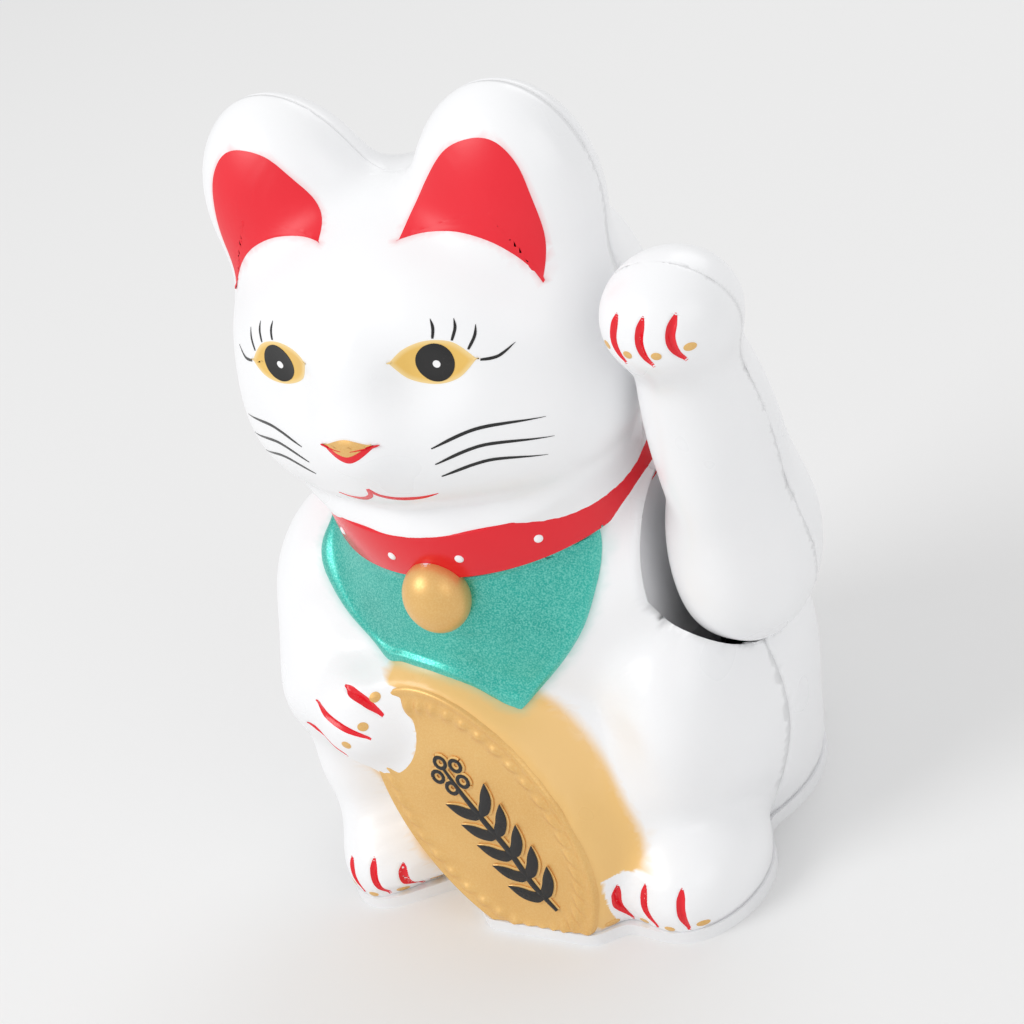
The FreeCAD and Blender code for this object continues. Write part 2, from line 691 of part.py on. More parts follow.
def make_electrics():
    (x0, x1), (y0, y1) = BOARD_X, BOARD_Y
    corners = ((x0, y0), (x1, y0), (x1, y1 - BOARD_CORNER), (x1 - BOARD_CORNER, y1), (x0, y1), (x0, y0))
    outline = Part.makePolygon([V(x, y, BOARD_Z) for x, y in corners])
    board = Part.Face(outline).extrude(V(0, 0, BOARD_THICK))
    screw_hole = rod(SCREW_R, (*BOARD_SCREW, BOARD_Z - 1), (*BOARD_SCREW, BOARD_TOP + 1))
    write("circuit_board", board.cut(screw_hole))
    capacitor = rod(2.5, (14, 20, BOARD_TOP), (14, 20, BOARD_TOP + 7))
    transistor = rod(2.3, (14, 27, BOARD_TOP), (14, 27, BOARD_TOP + 4.6)).cut(box(10, 13, 20, 32, 0, 40))
    resistors = [rod(0.9, (21, y, BOARD_TOP + 0.9), (27, y, BOARD_TOP + 0.9)) for y in (19.5, 23, 26.5)]
    write("board_components", Part.makeCompound([capacitor, transistor, *resistors]))

    x, y = LEVER_MIDDLE, COIL_Y
    bobbin = rod(CORE_R, (x, y, BOARD_TOP), (x, y, COIL_TOP))
    bobbin = bobbin.fuse(rod(COIL_R, (x, y, BOARD_TOP), (x, y, BOARD_TOP + FLANGE)))
    bobbin = bobbin.fuse(rod(COIL_R, (x, y, COIL_TOP - FLANGE), (x, y, COIL_TOP)))
    write("coil_bobbin", bobbin)
    winding = rod(COIL_R - 0.6, (x, y, BOARD_TOP + FLANGE), (x, y, COIL_TOP - FLANGE))
    write("drive_coil", winding.cut(rod(CORE_R, (x, y, 0), (x, y, 40))))

    x, y = SWITCH_X, SWITCH_Y
    housing = box(x - 6.4, x + 6.4, y - 4.2, y + 4.2, PLATE, 8.5)
    housing = housing.cut(box(x - 5.2, x + 5.2, y - 3, y + 3, PLATE - 1, 6.2))
    write("switch_housing", housing)
    knob = box(x - 3.5, x + 0.5, y - 2, y + 2, 0.5, 3.6)
    knob = knob.fuse(box(x - 4.5, x + 1.5, y - 2.6, y + 2.6, 3.4, 5.6))
    for step in range(3):
        ridge = x - 2.6 + 1.1 * step
        knob = knob.cut(box(ridge - 0.25, ridge + 0.25, y - 3, y + 3, 0, 0.9))
    write("switch_slider", knob.removeSplitter())

    over = BOARD_TOP + 2.2
    roof = BOARD_Z + LEAD_R + 0.1
    start = -CELL_LENGTH / 2 - CELL_SHIFT
    for name, y, end in (("red_lead", CELL_Y[0], 9.0), ("black_lead", CELL_Y[1], 8.0)):
        route = [(start, y, roof), (-8, y, roof), (1, y, over), (end, y, over), (end, y, BOARD_TOP)]
        write(name, lead(route, 1.2))
    pair_of = []
    for side in (-1.5, 1.5):
        route = [(SWITCH_X + side, SWITCH_Y, 8.5), (SWITCH_X + side, SWITCH_Y + 1, 20),
                 (SWITCH_X + side + 3, -10, 27), (6 + side, -2, 27), (8 + side, 4, BOARD_TOP + 4),
                 (8 + side, 4, BOARD_TOP)]
        pair_of.append(lead(route, 1.6))
    write("switch_leads", Part.makeCompound(pair_of))


if __name__ == "__main__":
    os.makedirs(OUT, exist_ok=True)
    make_shells()
    make_arm()
    make_pendulum()
    make_frame()
    make_base()
    make_battery()
    make_electrics()
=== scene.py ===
# %% [markdown]
# # A beckoning cat, piece by piece
# The real thing is a hollow moulded figurine. Two white half shells meet along the
# ears and the shoulders, a smaller pair makes the arm that waves, and a swinging
# weight inside the body keeps it going. Most of what the eye notices is paint:
# a red collar, a teal bib, a gold coin, and a face drawn with a few thin strokes.
# This lesson loads the engineered parts as a fixed frame, then dresses them.

# %% Load the frame
import math

import bmesh
import bpy
from mathutils import Matrix, Vector
from mathutils.bvhtree import BVHTree
from mathutils.kdtree import KDTree


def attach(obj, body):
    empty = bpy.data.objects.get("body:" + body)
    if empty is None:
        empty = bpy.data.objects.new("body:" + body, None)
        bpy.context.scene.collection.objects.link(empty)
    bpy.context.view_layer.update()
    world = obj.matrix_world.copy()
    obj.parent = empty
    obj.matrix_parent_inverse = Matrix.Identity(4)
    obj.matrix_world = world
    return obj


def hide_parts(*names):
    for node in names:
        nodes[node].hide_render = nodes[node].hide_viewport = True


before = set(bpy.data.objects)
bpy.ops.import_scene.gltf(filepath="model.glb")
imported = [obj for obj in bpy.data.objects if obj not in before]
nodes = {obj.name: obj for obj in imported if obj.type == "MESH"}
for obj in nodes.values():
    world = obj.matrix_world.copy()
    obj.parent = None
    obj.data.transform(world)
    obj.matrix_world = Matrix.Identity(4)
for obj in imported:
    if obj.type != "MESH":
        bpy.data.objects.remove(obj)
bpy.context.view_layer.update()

MM = 0.001
print("engineered parts:", len(nodes))

# %% [markdown]
# ## The camera
# A figurine this size is best seen from about two thirds of a metre with a long
# lens, so that it keeps its proportions. The camera stands to the cat's left, a
# little above it, and is rolled, so the cat leans in the frame. Its three axes are
# worked out from two angles and the roll, and put in the camera's matrix.

# %% Place the camera
CAMERA_AZIMUTH = math.radians(36.02)
CAMERA_ELEVATION = math.radians(28.82)
CAMERA_ROLL = math.radians(-17.63)
CAMERA_DISTANCE = 644.56 * MM
CAMERA_AIM = Vector((-1.35, -10.39, 85.16)) * MM
CAMERA_LENS = 97.36

away = Vector((
    math.sin(CAMERA_AZIMUTH) * math.cos(CAMERA_ELEVATION),
    -math.cos(CAMERA_AZIMUTH) * math.cos(CAMERA_ELEVATION),
    math.sin(CAMERA_ELEVATION),
))
level = Vector((math.cos(CAMERA_AZIMUTH), math.sin(CAMERA_AZIMUTH), 0))
rise = away.cross(level)
across = level * math.cos(CAMERA_ROLL) + rise * math.sin(CAMERA_ROLL)
upward = rise * math.cos(CAMERA_ROLL) - level * math.sin(CAMERA_ROLL)
camera_turn = Matrix((across, upward, away)).transposed().to_4x4()
bpy.ops.object.camera_add()
camera = bpy.context.object
camera.name = "camera"
camera.data.lens = CAMERA_LENS
camera.data.clip_start = 0.05
camera.data.clip_end = 20
camera.matrix_world = Matrix.Translation(CAMERA_AIM + away * CAMERA_DISTANCE) @ camera_turn
bpy.context.scene.camera = camera
print("camera stands at", [round(c, 3) for c in camera.location])

# %% [markdown]
# ## The stage
# Glossy white plastic shows whatever stands round it, so the studio is plain: a
# pale floor, a bright even sky, one wide soft lamp high in front on the cat's right, a
# weaker one on its left and a third behind. Wide lamps give broad calm highlights.

# %% Build the stage and the lamps
FLOOR_SIZE = 6.0
# each lamp: name, place, width and power
SKY_STRENGTH = 0.74
LAMPS = (
    ("lamp_key", (-0.75, -0.95, 1.05), 0.85, 8.5),
    ("lamp_fill", (1.15, -0.55, 0.7), 0.9, 2.0),
    ("lamp_back", (0.1, 1.1, 1.0), 0.9, 3.0),
)

bpy.ops.mesh.primitive_plane_add(size=FLOOR_SIZE, location=(0, 0, 0))
floor = bpy.context.object
floor.name = "floor"

sky = bpy.data.worlds.new("studio_sky")
bpy.context.scene.world = sky
sky.use_nodes = True
sky.node_tree.nodes["Background"].inputs["Color"].default_value = (1.0, 1.0, 1.0, 1.0)
sky.node_tree.nodes["Background"].inputs["Strength"].default_value = SKY_STRENGTH
bpy.context.scene.view_settings.view_transform = "Standard"

for lamp_name, place, width, power in LAMPS:
    bpy.ops.object.light_add(type="AREA", location=place)
    lamp = bpy.context.object
    lamp.name = lamp_name
    lamp.data.shape = "DISK"
    lamp.data.size = width
    lamp.data.energy = power
    lamp.rotation_euler = (CAMERA_AIM - Vector(place)).to_track_quat("-Z", "Y").to_euler()
print("lamps:", len(LAMPS))

# %% [markdown]
# ## Paint and plastic
# Every finish here is either the plastic itself or a thin coat sprayed through a mask.
# Both are a little uneven: the gloss wanders, and a spray coat has a faint orange peel.
# One small set of helpers mixes a noise, laid out in the object's own coordinates, into
# the colour, the gloss and the surface of a finish.

# %% Helpers for finishes
CHART_TOP = 255
DARK_LIMIT = 0.04045
DARK_SLOPE = 12.92
CURVE_SHIFT = 0.055
CURVE_POWER = 2.4


def tone(red, green, blue):
    """A colour as a painter reads it off a chart, 0 to 255, turned into scene light."""
    def straight(level):
        share = level / CHART_TOP
        if share <= DARK_LIMIT:
            return share / DARK_SLOPE
        return ((share + CURVE_SHIFT) / (1 + CURVE_SHIFT)) ** CURVE_POWER
    return (straight(red), straight(green), straight(blue), 1.0)


def blank_finish(name):
    """A new node material with its main shader."""
    material = bpy.data.materials.new(name)
    material.use_nodes = True
    return material, material.node_tree, material.node_tree.nodes["Principled BSDF"]


def speckle(tree, scale, detail=2.0):
    """A cloudy noise in the object's own coordinates."""
    place = tree.nodes.new("ShaderNodeTexCoord")
    noise = tree.nodes.new("ShaderNodeTexNoise")
    noise.inputs["Scale"].default_value = scale
    noise.inputs["Detail"].default_value = detail
    tree.links.new(place.outputs["Object"], noise.inputs["Vector"])
    return noise.outputs["Fac"]


def ranged(tree, source, low, high, start=0.0, end=1.0):
    """Maps start..end of a value to low..high."""
    node = tree.nodes.new("ShaderNodeMapRange")
    node.inputs["From Min"].default_value = start
    node.inputs["From Max"].default_value = end
    node.inputs["To Min"].default_value = low
    node.inputs["To Max"].default_value = high
    tree.links.new(source, node.inputs["Value"])
    return node.outputs["Result"]


# the colour sockets of a mix node, which shares its socket names with other kinds
MIX_FIRST = 6
MIX_SECOND = 7
MIX_RESULT = 2


def blended(tree, share, first, second):
    """Mixes two colours; each is a fixed colour or the output of a node."""
    node = tree.nodes.new("ShaderNodeMix")
    node.data_type = "RGBA"
    tree.links.new(share, node.inputs["Factor"])
    for colour, socket in ((first, node.inputs[MIX_FIRST]), (second, node.inputs[MIX_SECOND])):
        if isinstance(colour, tuple):
            socket.default_value = colour
        else:
            tree.links.new(colour, socket)
    return node.outputs[MIX_RESULT]


def measured(tree, name):
    """Reads a number kept at the vertices of the piece."""
    node = tree.nodes.new("ShaderNodeAttribute")
    node.attribute_name = name
    return node.outputs["Fac"]


SKIN_DETAIL = 3.0


def skin(tree, shader, scale, strength, depth=0.4 * MM):
    """A faint uneven surface."""
    bump = tree.nodes.new("ShaderNodeBump")
    bump.inputs["Strength"].default_value = strength
    bump.inputs["Distance"].default_value = depth
    tree.links.new(speckle(tree, scale, SKIN_DETAIL), bump.inputs["Height"])
    tree.links.new(bump.outputs["Normal"], shader.inputs["Normal"])


COAT_SKIN_SCALE = 900.0
COAT_SKIN_STRENGTH = 0.04


def coat(name, light, dark, gloss, metal=0.0, scale=90.0):
    """A plain finish: cloudy between two tones and two degrees of gloss."""
    material, tree, shader = blank_finish(name)
    cloud = speckle(tree, scale)
    tree.links.new(blended(tree, cloud, dark, light), shader.inputs["Base Color"])
    tree.links.new(ranged(tree, cloud, gloss[0], gloss[1]), shader.inputs["Roughness"])
    shader.inputs["Metallic"].default_value = metal
    skin(tree, shader, COAT_SKIN_SCALE, COAT_SKIN_STRENGTH)
    return material


def wear(piece, material, body):
    """Gives a piece its finish and the body that carries it."""
    piece.data.materials.clear()
    piece.data.materials.append(material)
    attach(piece, body)


print("finish helpers are ready")

# %% [markdown]
# ## The white plastic
# The mouldings are dyed white right through and come glossy out of a polished tool.
# Around each masked area a little paint drifts over the edge. That overspray is kept
# as numbers at the vertices, one for each paint, and mixed into the white.

# %% Mix the white plastic
WHITE = tone(247, 247, 248)
WHITE_DEEP = tone(240, 241, 243)
GOLD = tone(238, 194, 122)
GOLD_DEEP = tone(220, 170, 98)
RED = tone(236, 30, 46)
TEAL = tone(52, 196, 180)
TEAL_DEEP = tone(14, 150, 138)

white_plastic, tree, shader = blank_finish("white_plastic")
cloud = speckle(tree, 40.0)
colour = blended(tree, cloud, WHITE_DEEP, WHITE)
for spray_name, spray_tone in (("gold_spray", GOLD), ("teal_spray", TEAL), ("red_spray", RED)):
    colour = blended(tree, measured(tree, spray_name), colour, spray_tone)
tree.links.new(colour, shader.inputs["Base Color"])
tree.links.new(ranged(tree, cloud, 0.24, 0.34), shader.inputs["Roughness"])
skin(tree, shader, 260.0, 0.03)
print("white plastic mixed from", len(tree.nodes), "nodes")

# %% [markdown]
# ## Laying paint on a curved moulding
# Paint follows the surface below it. Each painted area is drawn flat, as the mask
# maker would, then dropped on the moulding: straight back for the face, the ears and
# the paws, or inward towards an upright axis for the bib, which wraps round the chest.

# %% Helpers for dropping a drawing on a moulding
def surface_of(pieces):
    """One search tree over the faces of several pieces."""
    points = []
    faces = []
    for piece in pieces:
        start = len(points)
        points.extend(vertex.co.copy() for vertex in piece.data.vertices)
        faces.extend(tuple(start + i for i in face.vertices) for face in piece.data.polygons)
    return BVHTree.FromPolygons(points, faces)


IN_FRONT = -200 * MM
JUST_IN_FRONT = -30 * MM


def from_front(surface):
    """Drops (across, up) in mm straight back along +Y."""
    def drop(across, up):
        start = Vector((across * MM, IN_FRONT, up * MM))
        hit, normal = surface.ray_cast(start, Vector((0, 1, 0)))[:2]
        if hit is None:
            hit, normal = surface.find_nearest(Vector((across * MM, JUST_IN_FRONT, up * MM)))[:2]
        return hit, normal
    return drop


CHEST_RADIUS = 45.0
CHEST_AXIS_Y = -5.0
CLEAR_OF_CHEST = 90 * MM


def from_around(surface):
    """Drops (arc, up) in mm inward; the arc is measured on the chest radius."""
    def drop(arc, up):
        angle = arc / CHEST_RADIUS
        outward = Vector((math.sin(angle), -math.cos(angle), 0))
        axis = Vector((0, CHEST_AXIS_Y * MM, up * MM))
        hit, normal = surface.ray_cast(axis + outward * CLEAR_OF_CHEST, -outward)[:2]
        if hit is None:
            hit, normal = surface.find_nearest(axis + outward * CHEST_RADIUS * MM)[:2]
        return hit, normal
    return drop


STEPS_PER_SPAN = 16


def smooth_line(points, spacing, closed=False):
    """Even points on a smooth curve through the given ones; a point twice is a corner."""
    count = len(points)
    spans = count if closed else count - 1
    dense = []
    for span in range(spans):
        near = []
        for step in (-1, 0, 1, 2):
            index = span + step
            index = index % count if closed else min(max(index, 0), count - 1)
            near.append(Vector(points[index]))
        before, start, end, after = near
        for part in range(STEPS_PER_SPAN):
            t = part / STEPS_PER_SPAN
            dense.append(0.5 * (
                2 * start + (end - before) * t
                + (2 * before - 5 * start + 4 * end - after) * t * t
                + (3 * start - before - 3 * end + after) * t ** 3
            ))
    dense.append(Vector(points[0] if closed else points[-1]))
    lengths = [0.0]
    for first, second in zip(dense, dense[1:]):
        lengths.append(lengths[-1] + (second - first).length)
    total = max(3, round(lengths[-1] / spacing))
    even = []
    place = 0
    for step in range(total + 1):
        wanted = lengths[-1] * step / total
        while place < len(lengths) - 2 and lengths[place + 1] < wanted:
            place += 1
        share = (wanted - lengths[place]) / max(lengths[place + 1] - lengths[place], 1e-9)
        even.append(dense[place].lerp(dense[place + 1], min(max(share, 0.0), 1.0)))
    return even[:-1] if closed else even


def deselect():
    """Nothing is left selected from the step before."""
    bpy.ops.object.select_all(action="DESELECT")


def apply_modifiers(piece):
    """Turns every modifier of a piece into mesh."""
    deselect()
    piece.select_set(True)
    bpy.context.view_layer.objects.active = piece
    for modifier in list(piece.modifiers):
        bpy.ops.object.modifier_apply(modifier=modifier.name)


def place_in_mesh(piece):
    """Moves an object's place, turn and scale into its mesh."""
    deselect()
    piece.select_set(True)
    bpy.context.view_layer.objects.active = piece
    bpy.ops.object.transform_apply(location=True, rotation=True, scale=True)


def face_outward(piece):
    """Turns the faces of a closed piece outward."""
    deselect()
    piece.select_set(True)
    bpy.context.view_layer.objects.active = piece
    bpy.ops.object.mode_set(mode="EDIT")
    bpy.ops.mesh.select_all(action="SELECT")
    bpy.ops.mesh.normals_make_consistent(inside=False)
    bpy.ops.object.mode_set(mode="OBJECT")


def soften(piece, degrees=40):
    """Smooth shading that keeps the sharp edges."""
    deselect()
    piece.select_set(True)
    bpy.context.view_layer.objects.active = piece
    bpy.ops.object.shade_smooth_by_angle(angle=math.radians(degrees))


def thicken(piece, depth):
    """Gives a dropped skin its depth, inward, and closes it."""
    modifier = piece.modifiers.new("depth", "SOLIDIFY")
    modifier.thickness = depth * MM
    modifier.offset = -1
    modifier.use_even_offset = False
    apply_modifiers(piece)


def number_at_vertices(piece, name, values):
    """Keeps one number for each vertex of the piece."""
    layer = piece.data.attributes.new(name, "FLOAT", "POINT")
    layer.data.foreach_set("value", values)


RELAX_REACH = 0.3


def patch(name, outline, drop, height, rings=10, spacing=0.8, depth=0.35, smooth=0, middle=None):
    """A painted area: an outline filled with rings, dropped and lifted by height(edge)."""
    loop = smooth_line(outline, spacing, closed=True)
    centre = Vector(middle) if middle else sum(loop, Vector((0, 0))) / len(loop)
    flat_centre = Vector((centre.x * MM, IN_FRONT, centre.y * MM))
    deselect()
    bpy.ops.mesh.primitive_circle_add(vertices=len(loop), radius=0.01, fill_type="NOTHING")
    piece = bpy.context.object
    piece.name = name
    for vertex, spot in zip(piece.data.vertices, loop):
        vertex.co = (spot.x * MM, IN_FRONT, spot.y * MM)
    bpy.ops.object.mode_set(mode="EDIT")
    bpy.ops.mesh.select_all(action="SELECT")
    for ring in range(rings, 1, -1):
        bpy.ops.mesh.extrude_edges_move()
        shrink = (ring - 1) / ring
        bpy.ops.transform.resize(value=(shrink, shrink, shrink), center_override=flat_centre)
    bpy.ops.mesh.extrude_edges_move()
    bpy.ops.mesh.merge(type="CENTER")
    bpy.ops.object.mode_set(mode="OBJECT")
    border = KDTree(len(loop))
    for index, spot in enumerate(loop):
        border.insert((spot.x, spot.y, 0), index)
    border.balance()
    edges = []
    normals = []
    for vertex in piece.data.vertices:
        across, up = vertex.co.x / MM, vertex.co.z / MM
        edge = border.find((across, up, 0))[2]
        hit, normal = drop(across, up)
        edges.append(edge)
        normals.append(normal.copy())
        vertex.co = hit
    for _ in range(smooth):
        relax(piece, edges, RELAX_REACH)
    for vertex, edge, normal in zip(piece.data.vertices, edges, normals):
        vertex.co += normal * height(edge) * MM
    number_at_vertices(piece, "edge", edges)
    turn_faces_along(piece, normals)
    thicken(piece, depth)
    soften(piece)
    return piece


def relax(piece, edges, reach):
    """Evens out the facets picked up from the moulding, leaving the border alone."""
    sums = [Vector() for _ in edges]
    counts = [0] * len(edges)
    points = [vertex.co.copy() for vertex in piece.data.vertices]
    for edge in piece.data.edges:
        first, second = edge.vertices
        sums[first] += points[second]
        sums[second] += points[first]
        counts[first] += 1
        counts[second] += 1
    for index, vertex in enumerate(piece.data.vertices):
        if edges[index] > reach:
            vertex.co = points[index].lerp(sums[index] / counts[index], 0.5)


def turn_faces_along(piece, normals):
    """Makes the faces of an open skin look the way the moulding does."""
    piece.data.update()
    agree = sum(face.normal.dot(normals[face.vertices[0]]) for face in piece.data.polygons)
    if agree < 0:
        piece.data.flip_normals()


STROKE_ROWS = 4
START_RUN = 1 / 4
END_RUN = 1 / 2


def swell(share, run, least):
    """Width of a stroke near one of its ends, from least up to 1 over the run."""
    return least + (1 - least) * math.sin(min(share / run, 1) * math.pi / 2)


def stroke(name, lines, drop, lift=0.1, depth=0.3, spacing=0.7, crown=0.04):
    """Brush strokes: each line is (points, widest, taper at start, taper at end)."""
    strips = []
    for points, width, start_taper, end_taper in lines:
        path = smooth_line(points, spacing)
        steps = len(path) - 1
        deselect()
        bpy.ops.mesh.primitive_grid_add(x_subdivisions=steps, y_subdivisions=STROKE_ROWS, size=2)
        strip = bpy.context.object
        normals = []
        for vertex in strip.data.vertices:
            share = (vertex.co.x + 1) / 2
            side = vertex.co.y
            index = round(share * steps)
            ahead = path[min(index + 1, steps)] - path[max(index - 1, 0)]
            ahead.normalize()
            start_width = swell(share, START_RUN, start_taper)
            end_width = swell(1 - share, END_RUN, end_taper)
            half = width / 2 * start_width * end_width
            spot = path[index] + Vector((-ahead.y, ahead.x)) * side * half
            hit, normal = drop(spot.x, spot.y)
            vertex.co = hit + normal * (lift + crown * (1 - side * side)) * MM
            normals.append(normal.copy())
        turn_faces_along(strip, normals)
        strips.append(strip)
    deselect()
    for strip in strips:
        strip.select_set(True)
    bpy.context.view_layer.objects.active = strips[0]
    if len(strips) > 1:
        bpy.ops.object.join()
    piece = bpy.context.object
    piece.name = name
    thicken(piece, depth)
    soften(piece)
    return piece


print("drawing helpers are ready")

# %% [markdown]
# ## Where the paint goes
# The drawings are in millimetres: across towards the cat's left, then up. A face is
# the same on both sides, so the ears, eyes, lashes and whiskers are drawn once and
# mirrored. The bib is drawn along the arc of the chest instead of straight across.

# %% The drawings
SLOTS_LEFT_FOOT = (
    ((28.4, 14.5), (27.6, 9.0), (29.3, 3.8)),
    ((35.4, 15.0), (34.6, 9.5), (36.3, 3.6)),
    ((44.5, 14.6), (44.0, 9.0), (44.3, 3.7)),
)
SLOTS_RIGHT_FOOT = (
    ((-45.5, 13.7), (-45.6, 9.0), (-44.2, 4.0)),
    ((-38.4, 14.7), (-38.6, 9.0), (-37.2, 3.8)),
    ((-31.7, 12.5), (-32.0, 8.0), (-30.6, 3.6)),
)
SLOTS_HOLDING_PAW = (
    ((-29.8, 65.3), (-24.8, 62.6), (-20.6, 58.5)),
    ((-39.5, 60.6), (-32.0, 57.6), (-24.2, 53.5)),
    ((-46.0, 52.4), (-39.6, 50.4), (-33.4, 47.1)),
)
SLOTS_WAVING_PAW = (
    ((61.5, 155.8), (59.9, 151.0), (60.2, 147.4), (61.4, 144.9)),
    ((67.9, 155.6), (66.5, 151.0), (66.8, 147.2), (68.0, 144.6)),
    ((74.2, 155.1), (72.9, 151.0), (73.2, 147.4), (74.4, 144.8)),
)
NAILS_FEET = ((25.1, 4.3), (32.6, 4.3), (39.9, 4.3), (47.4, 4.8),
              (-48.0, 5.0), (-41.0, 4.4), (-34.4, 4.2), (-27.6, 4.2))
NAILS_HOLDING_PAW = ((-22.1, 62.8), (-25.2, 57.0), (-31.0, 52.0), (-40.5, 46.6))
NAILS_WAVING_PAW = ((56.9, 148.2), (62.9, 147.6), (69.4, 147.3), (75.8, 147.8))
MOUTH = (
    ((-0.6, 123.0), (0.6, 120.4), (4.2, 118.7), (9.0, 118.2), (13.0, 118.8)),
    ((-0.6, 122.6), (-1.8, 120.2), (-5.0, 118.3), (-9.5, 117.6), (-13.0, 118.2)),
)
LOWER_LIP = ((-9.0, 115.4), (-4.5, 113.6), (0.5, 113.1), (5.5, 113.8), (10.0, 115.8))
EAR_LINING = (
    (10.3, 170.3), (10.3, 170.3), (17.0, 170.8), (24.0, 170.3), (30.4, 167.8), (35.4, 163.6),
    (39.4, 158.0), (39.4, 158.0), (41.0, 167.0), (40.4, 175.5), (38.6, 182.6), (34.6, 187.4),
    (29.2, 188.6), (22.4, 186.4), (16.0, 180.0), (11.6, 174.0),
)
EYE = (
    (10.6, 150.4), (10.6, 150.4), (14.0, 152.7), (19.0, 153.7), (24.4, 152.4), (28.6, 148.2),
    (28.6, 148.2), (24.4, 144.9), (18.8, 144.0), (13.6, 145.9),
)
LASHES = (
    ((20.4, 153.9), (20.6, 155.8), (20.0, 157.6)),
    ((24.2, 152.8), (24.9, 154.9), (24.6, 156.7)),
    ((27.2, 150.4), (28.5, 152.6), (28.7, 154.6)),
    ((29.2, 147.8), (32.4, 147.5), (35.4, 149.0)),
)
WHISKERS = (
    ((16.6, 131.4), (26.5, 133.7), (38.4, 132.0)),
    ((16.2, 127.4), (26.5, 129.6), (38.8, 127.0)),
    ((16.2, 123.9), (26.5, 125.6), (36.6, 123.0)),
)
NOSE = ((-5.7, 135.4), (-5.7, 135.4), (-0.2, 137.0), (5.3, 135.4), (5.3, 135.4), (-0.2, 133.3))
NOSE_EDGE = ((-6.9, 134.9), (-6.9, 134.9), (-0.2, 136.4), (6.5, 134.9), (6.5, 134.9), (-0.2, 131.7))
BIB = (
    (-48.6, 96.6), (-48.6, 96.6), (-45.4, 91.0), (-40.7, 84.6), (-34.6, 77.2), (-27.6, 71.2),
    (-20.5, 68.4), (-15.6, 68.4), (-7.1, 67.0), (1.8, 63.6), (10.2, 58.0), (13.2, 57.4),
    (21.6, 63.6), (31.0, 73.2), (37.4, 84.0), (41.6, 92.6), (42.2, 96.0), (42.2, 96.0),
    (30.0, 94.2), (15.0, 92.6), (0.0, 91.8), (-15.0, 92.6), (-32.0, 94.6),
)


def mirrored(drawing):
    """The same drawing on the other side of the face."""
    return tuple((-across, up) for across, up in drawing)


print("drawings:", len(EAR_LINING) + len(EYE) + len(BIB), "outline points")

# %% [markdown]
# ## The mouldings
# The engineered halves already have the true outer shape. What they lack is the fine
# work of the tool: the slots between the toes, the fold under the lip, and the fine
# groove where two halves meet. The faces near a slot are divided finer, then pressed in.

# %% Dress the four mouldings
SLOT_DEPTH = 0.9
SLOT_HALF_WIDTH = 0.75
SEAM_DEPTH = 0.12
PARTING_Y = -15.0
PARTING_GAP = 0.03
WELD_GAP = 0.01 * MM
GROOVE_SPACING = 0.5
GROOVE_REACH = 2.4
FINEST_EDGE = 0.45
GROOVE_SPREAD = 3
LEAST_AGREEMENT = 0.1
MOULDING_ANGLE = 50


def copy_of(name, source):
    """A free copy of an engineered part with its loose faces joined up."""
    deselect()
    piece = bpy.data.objects.new(name, nodes[source].data.copy())
    bpy.context.scene.collection.objects.link(piece)
    piece.select_set(True)
    bpy.context.view_layer.objects.active = piece
    bpy.ops.object.mode_set(mode="EDIT")
    bpy.ops.mesh.select_all(action="SELECT")
    bpy.ops.mesh.remove_doubles(threshold=WELD_GAP)
    bpy.ops.object.mode_set(mode="OBJECT")
    if "sharp_face" in piece.data.attributes:
        piece.data.attributes.remove(piece.data.attributes["sharp_face"])
    return piece


def grooves_on(surface, drawings, depth, half_width):
    """Points of drawn lines on the moulding: place, normal, share along, depth, half width."""
    drop = from_front(surface)
    spots = []
    for drawing in drawings:
        path = smooth_line(drawing, GROOVE_SPACING)
        for index, spot in enumerate(path):
            place, normal = drop(spot.x, spot.y)
            spots.append((place, normal, index / (len(path) - 1), depth, half_width))
    return spots


def press_grooves(piece, spots):
    """Divides the faces along the grooves and presses them in, tapered at both ends."""
    finder = KDTree(len(spots))
    for index, spot in enumerate(spots):
        finder.insert(spot[0], index)
    finder.balance()
    deselect()
    piece.select_set(True)
    bpy.context.view_layer.objects.active = piece
    for _ in range(2):
        near = [
            vertex.index for vertex in piece.data.vertices
            if finder.find(vertex.co)[2] < GROOVE_REACH * MM]
        bpy.ops.object.mode_set(mode="EDIT")
        bpy.ops.mesh.select_all(action="DESELECT")
        shape = bmesh.from_edit_mesh(piece.data)
        shape.verts.ensure_lookup_table()
        for index in near:
            for face in shape.verts[index].link_faces:
                longest = max(edge.calc_length() for edge in face.edges)
                if longest > FINEST_EDGE * MM:
                    face.select = True
        bmesh.update_edit_mesh(piece.data)
        bpy.ops.mesh.subdivide(number_cuts=1)
        bpy.ops.object.mode_set(mode="OBJECT")
    outward = [vertex.normal.copy() for vertex in piece.data.vertices]
    for vertex in piece.data.vertices:
        _, index, gap = finder.find(vertex.co)
        normal, share, depth, half_width = spots[index][1:]
        agreement = outward[vertex.index].dot(normal)
        if gap > GROOVE_SPREAD * half_width * MM or agreement < LEAST_AGREEMENT:
            continue
        along = math.sin(math.pi * share) ** 0.5
        press = math.exp(-(gap / (half_width * MM)) ** 2)
        vertex.co -= normal * depth * along * press * MM


def mark_seam(piece):
    """Draws the parting edge in a little, as where two halves meet."""
    outward = [vertex.normal.copy() for vertex in piece.data.vertices]
    for vertex, normal in zip(piece.data.vertices, outward):
        if abs(vertex.co.y - PARTING_Y * MM) < PARTING_GAP * MM:
            vertex.co -= Vector((normal.x, 0, normal.z)) * SEAM_DEPTH * MM


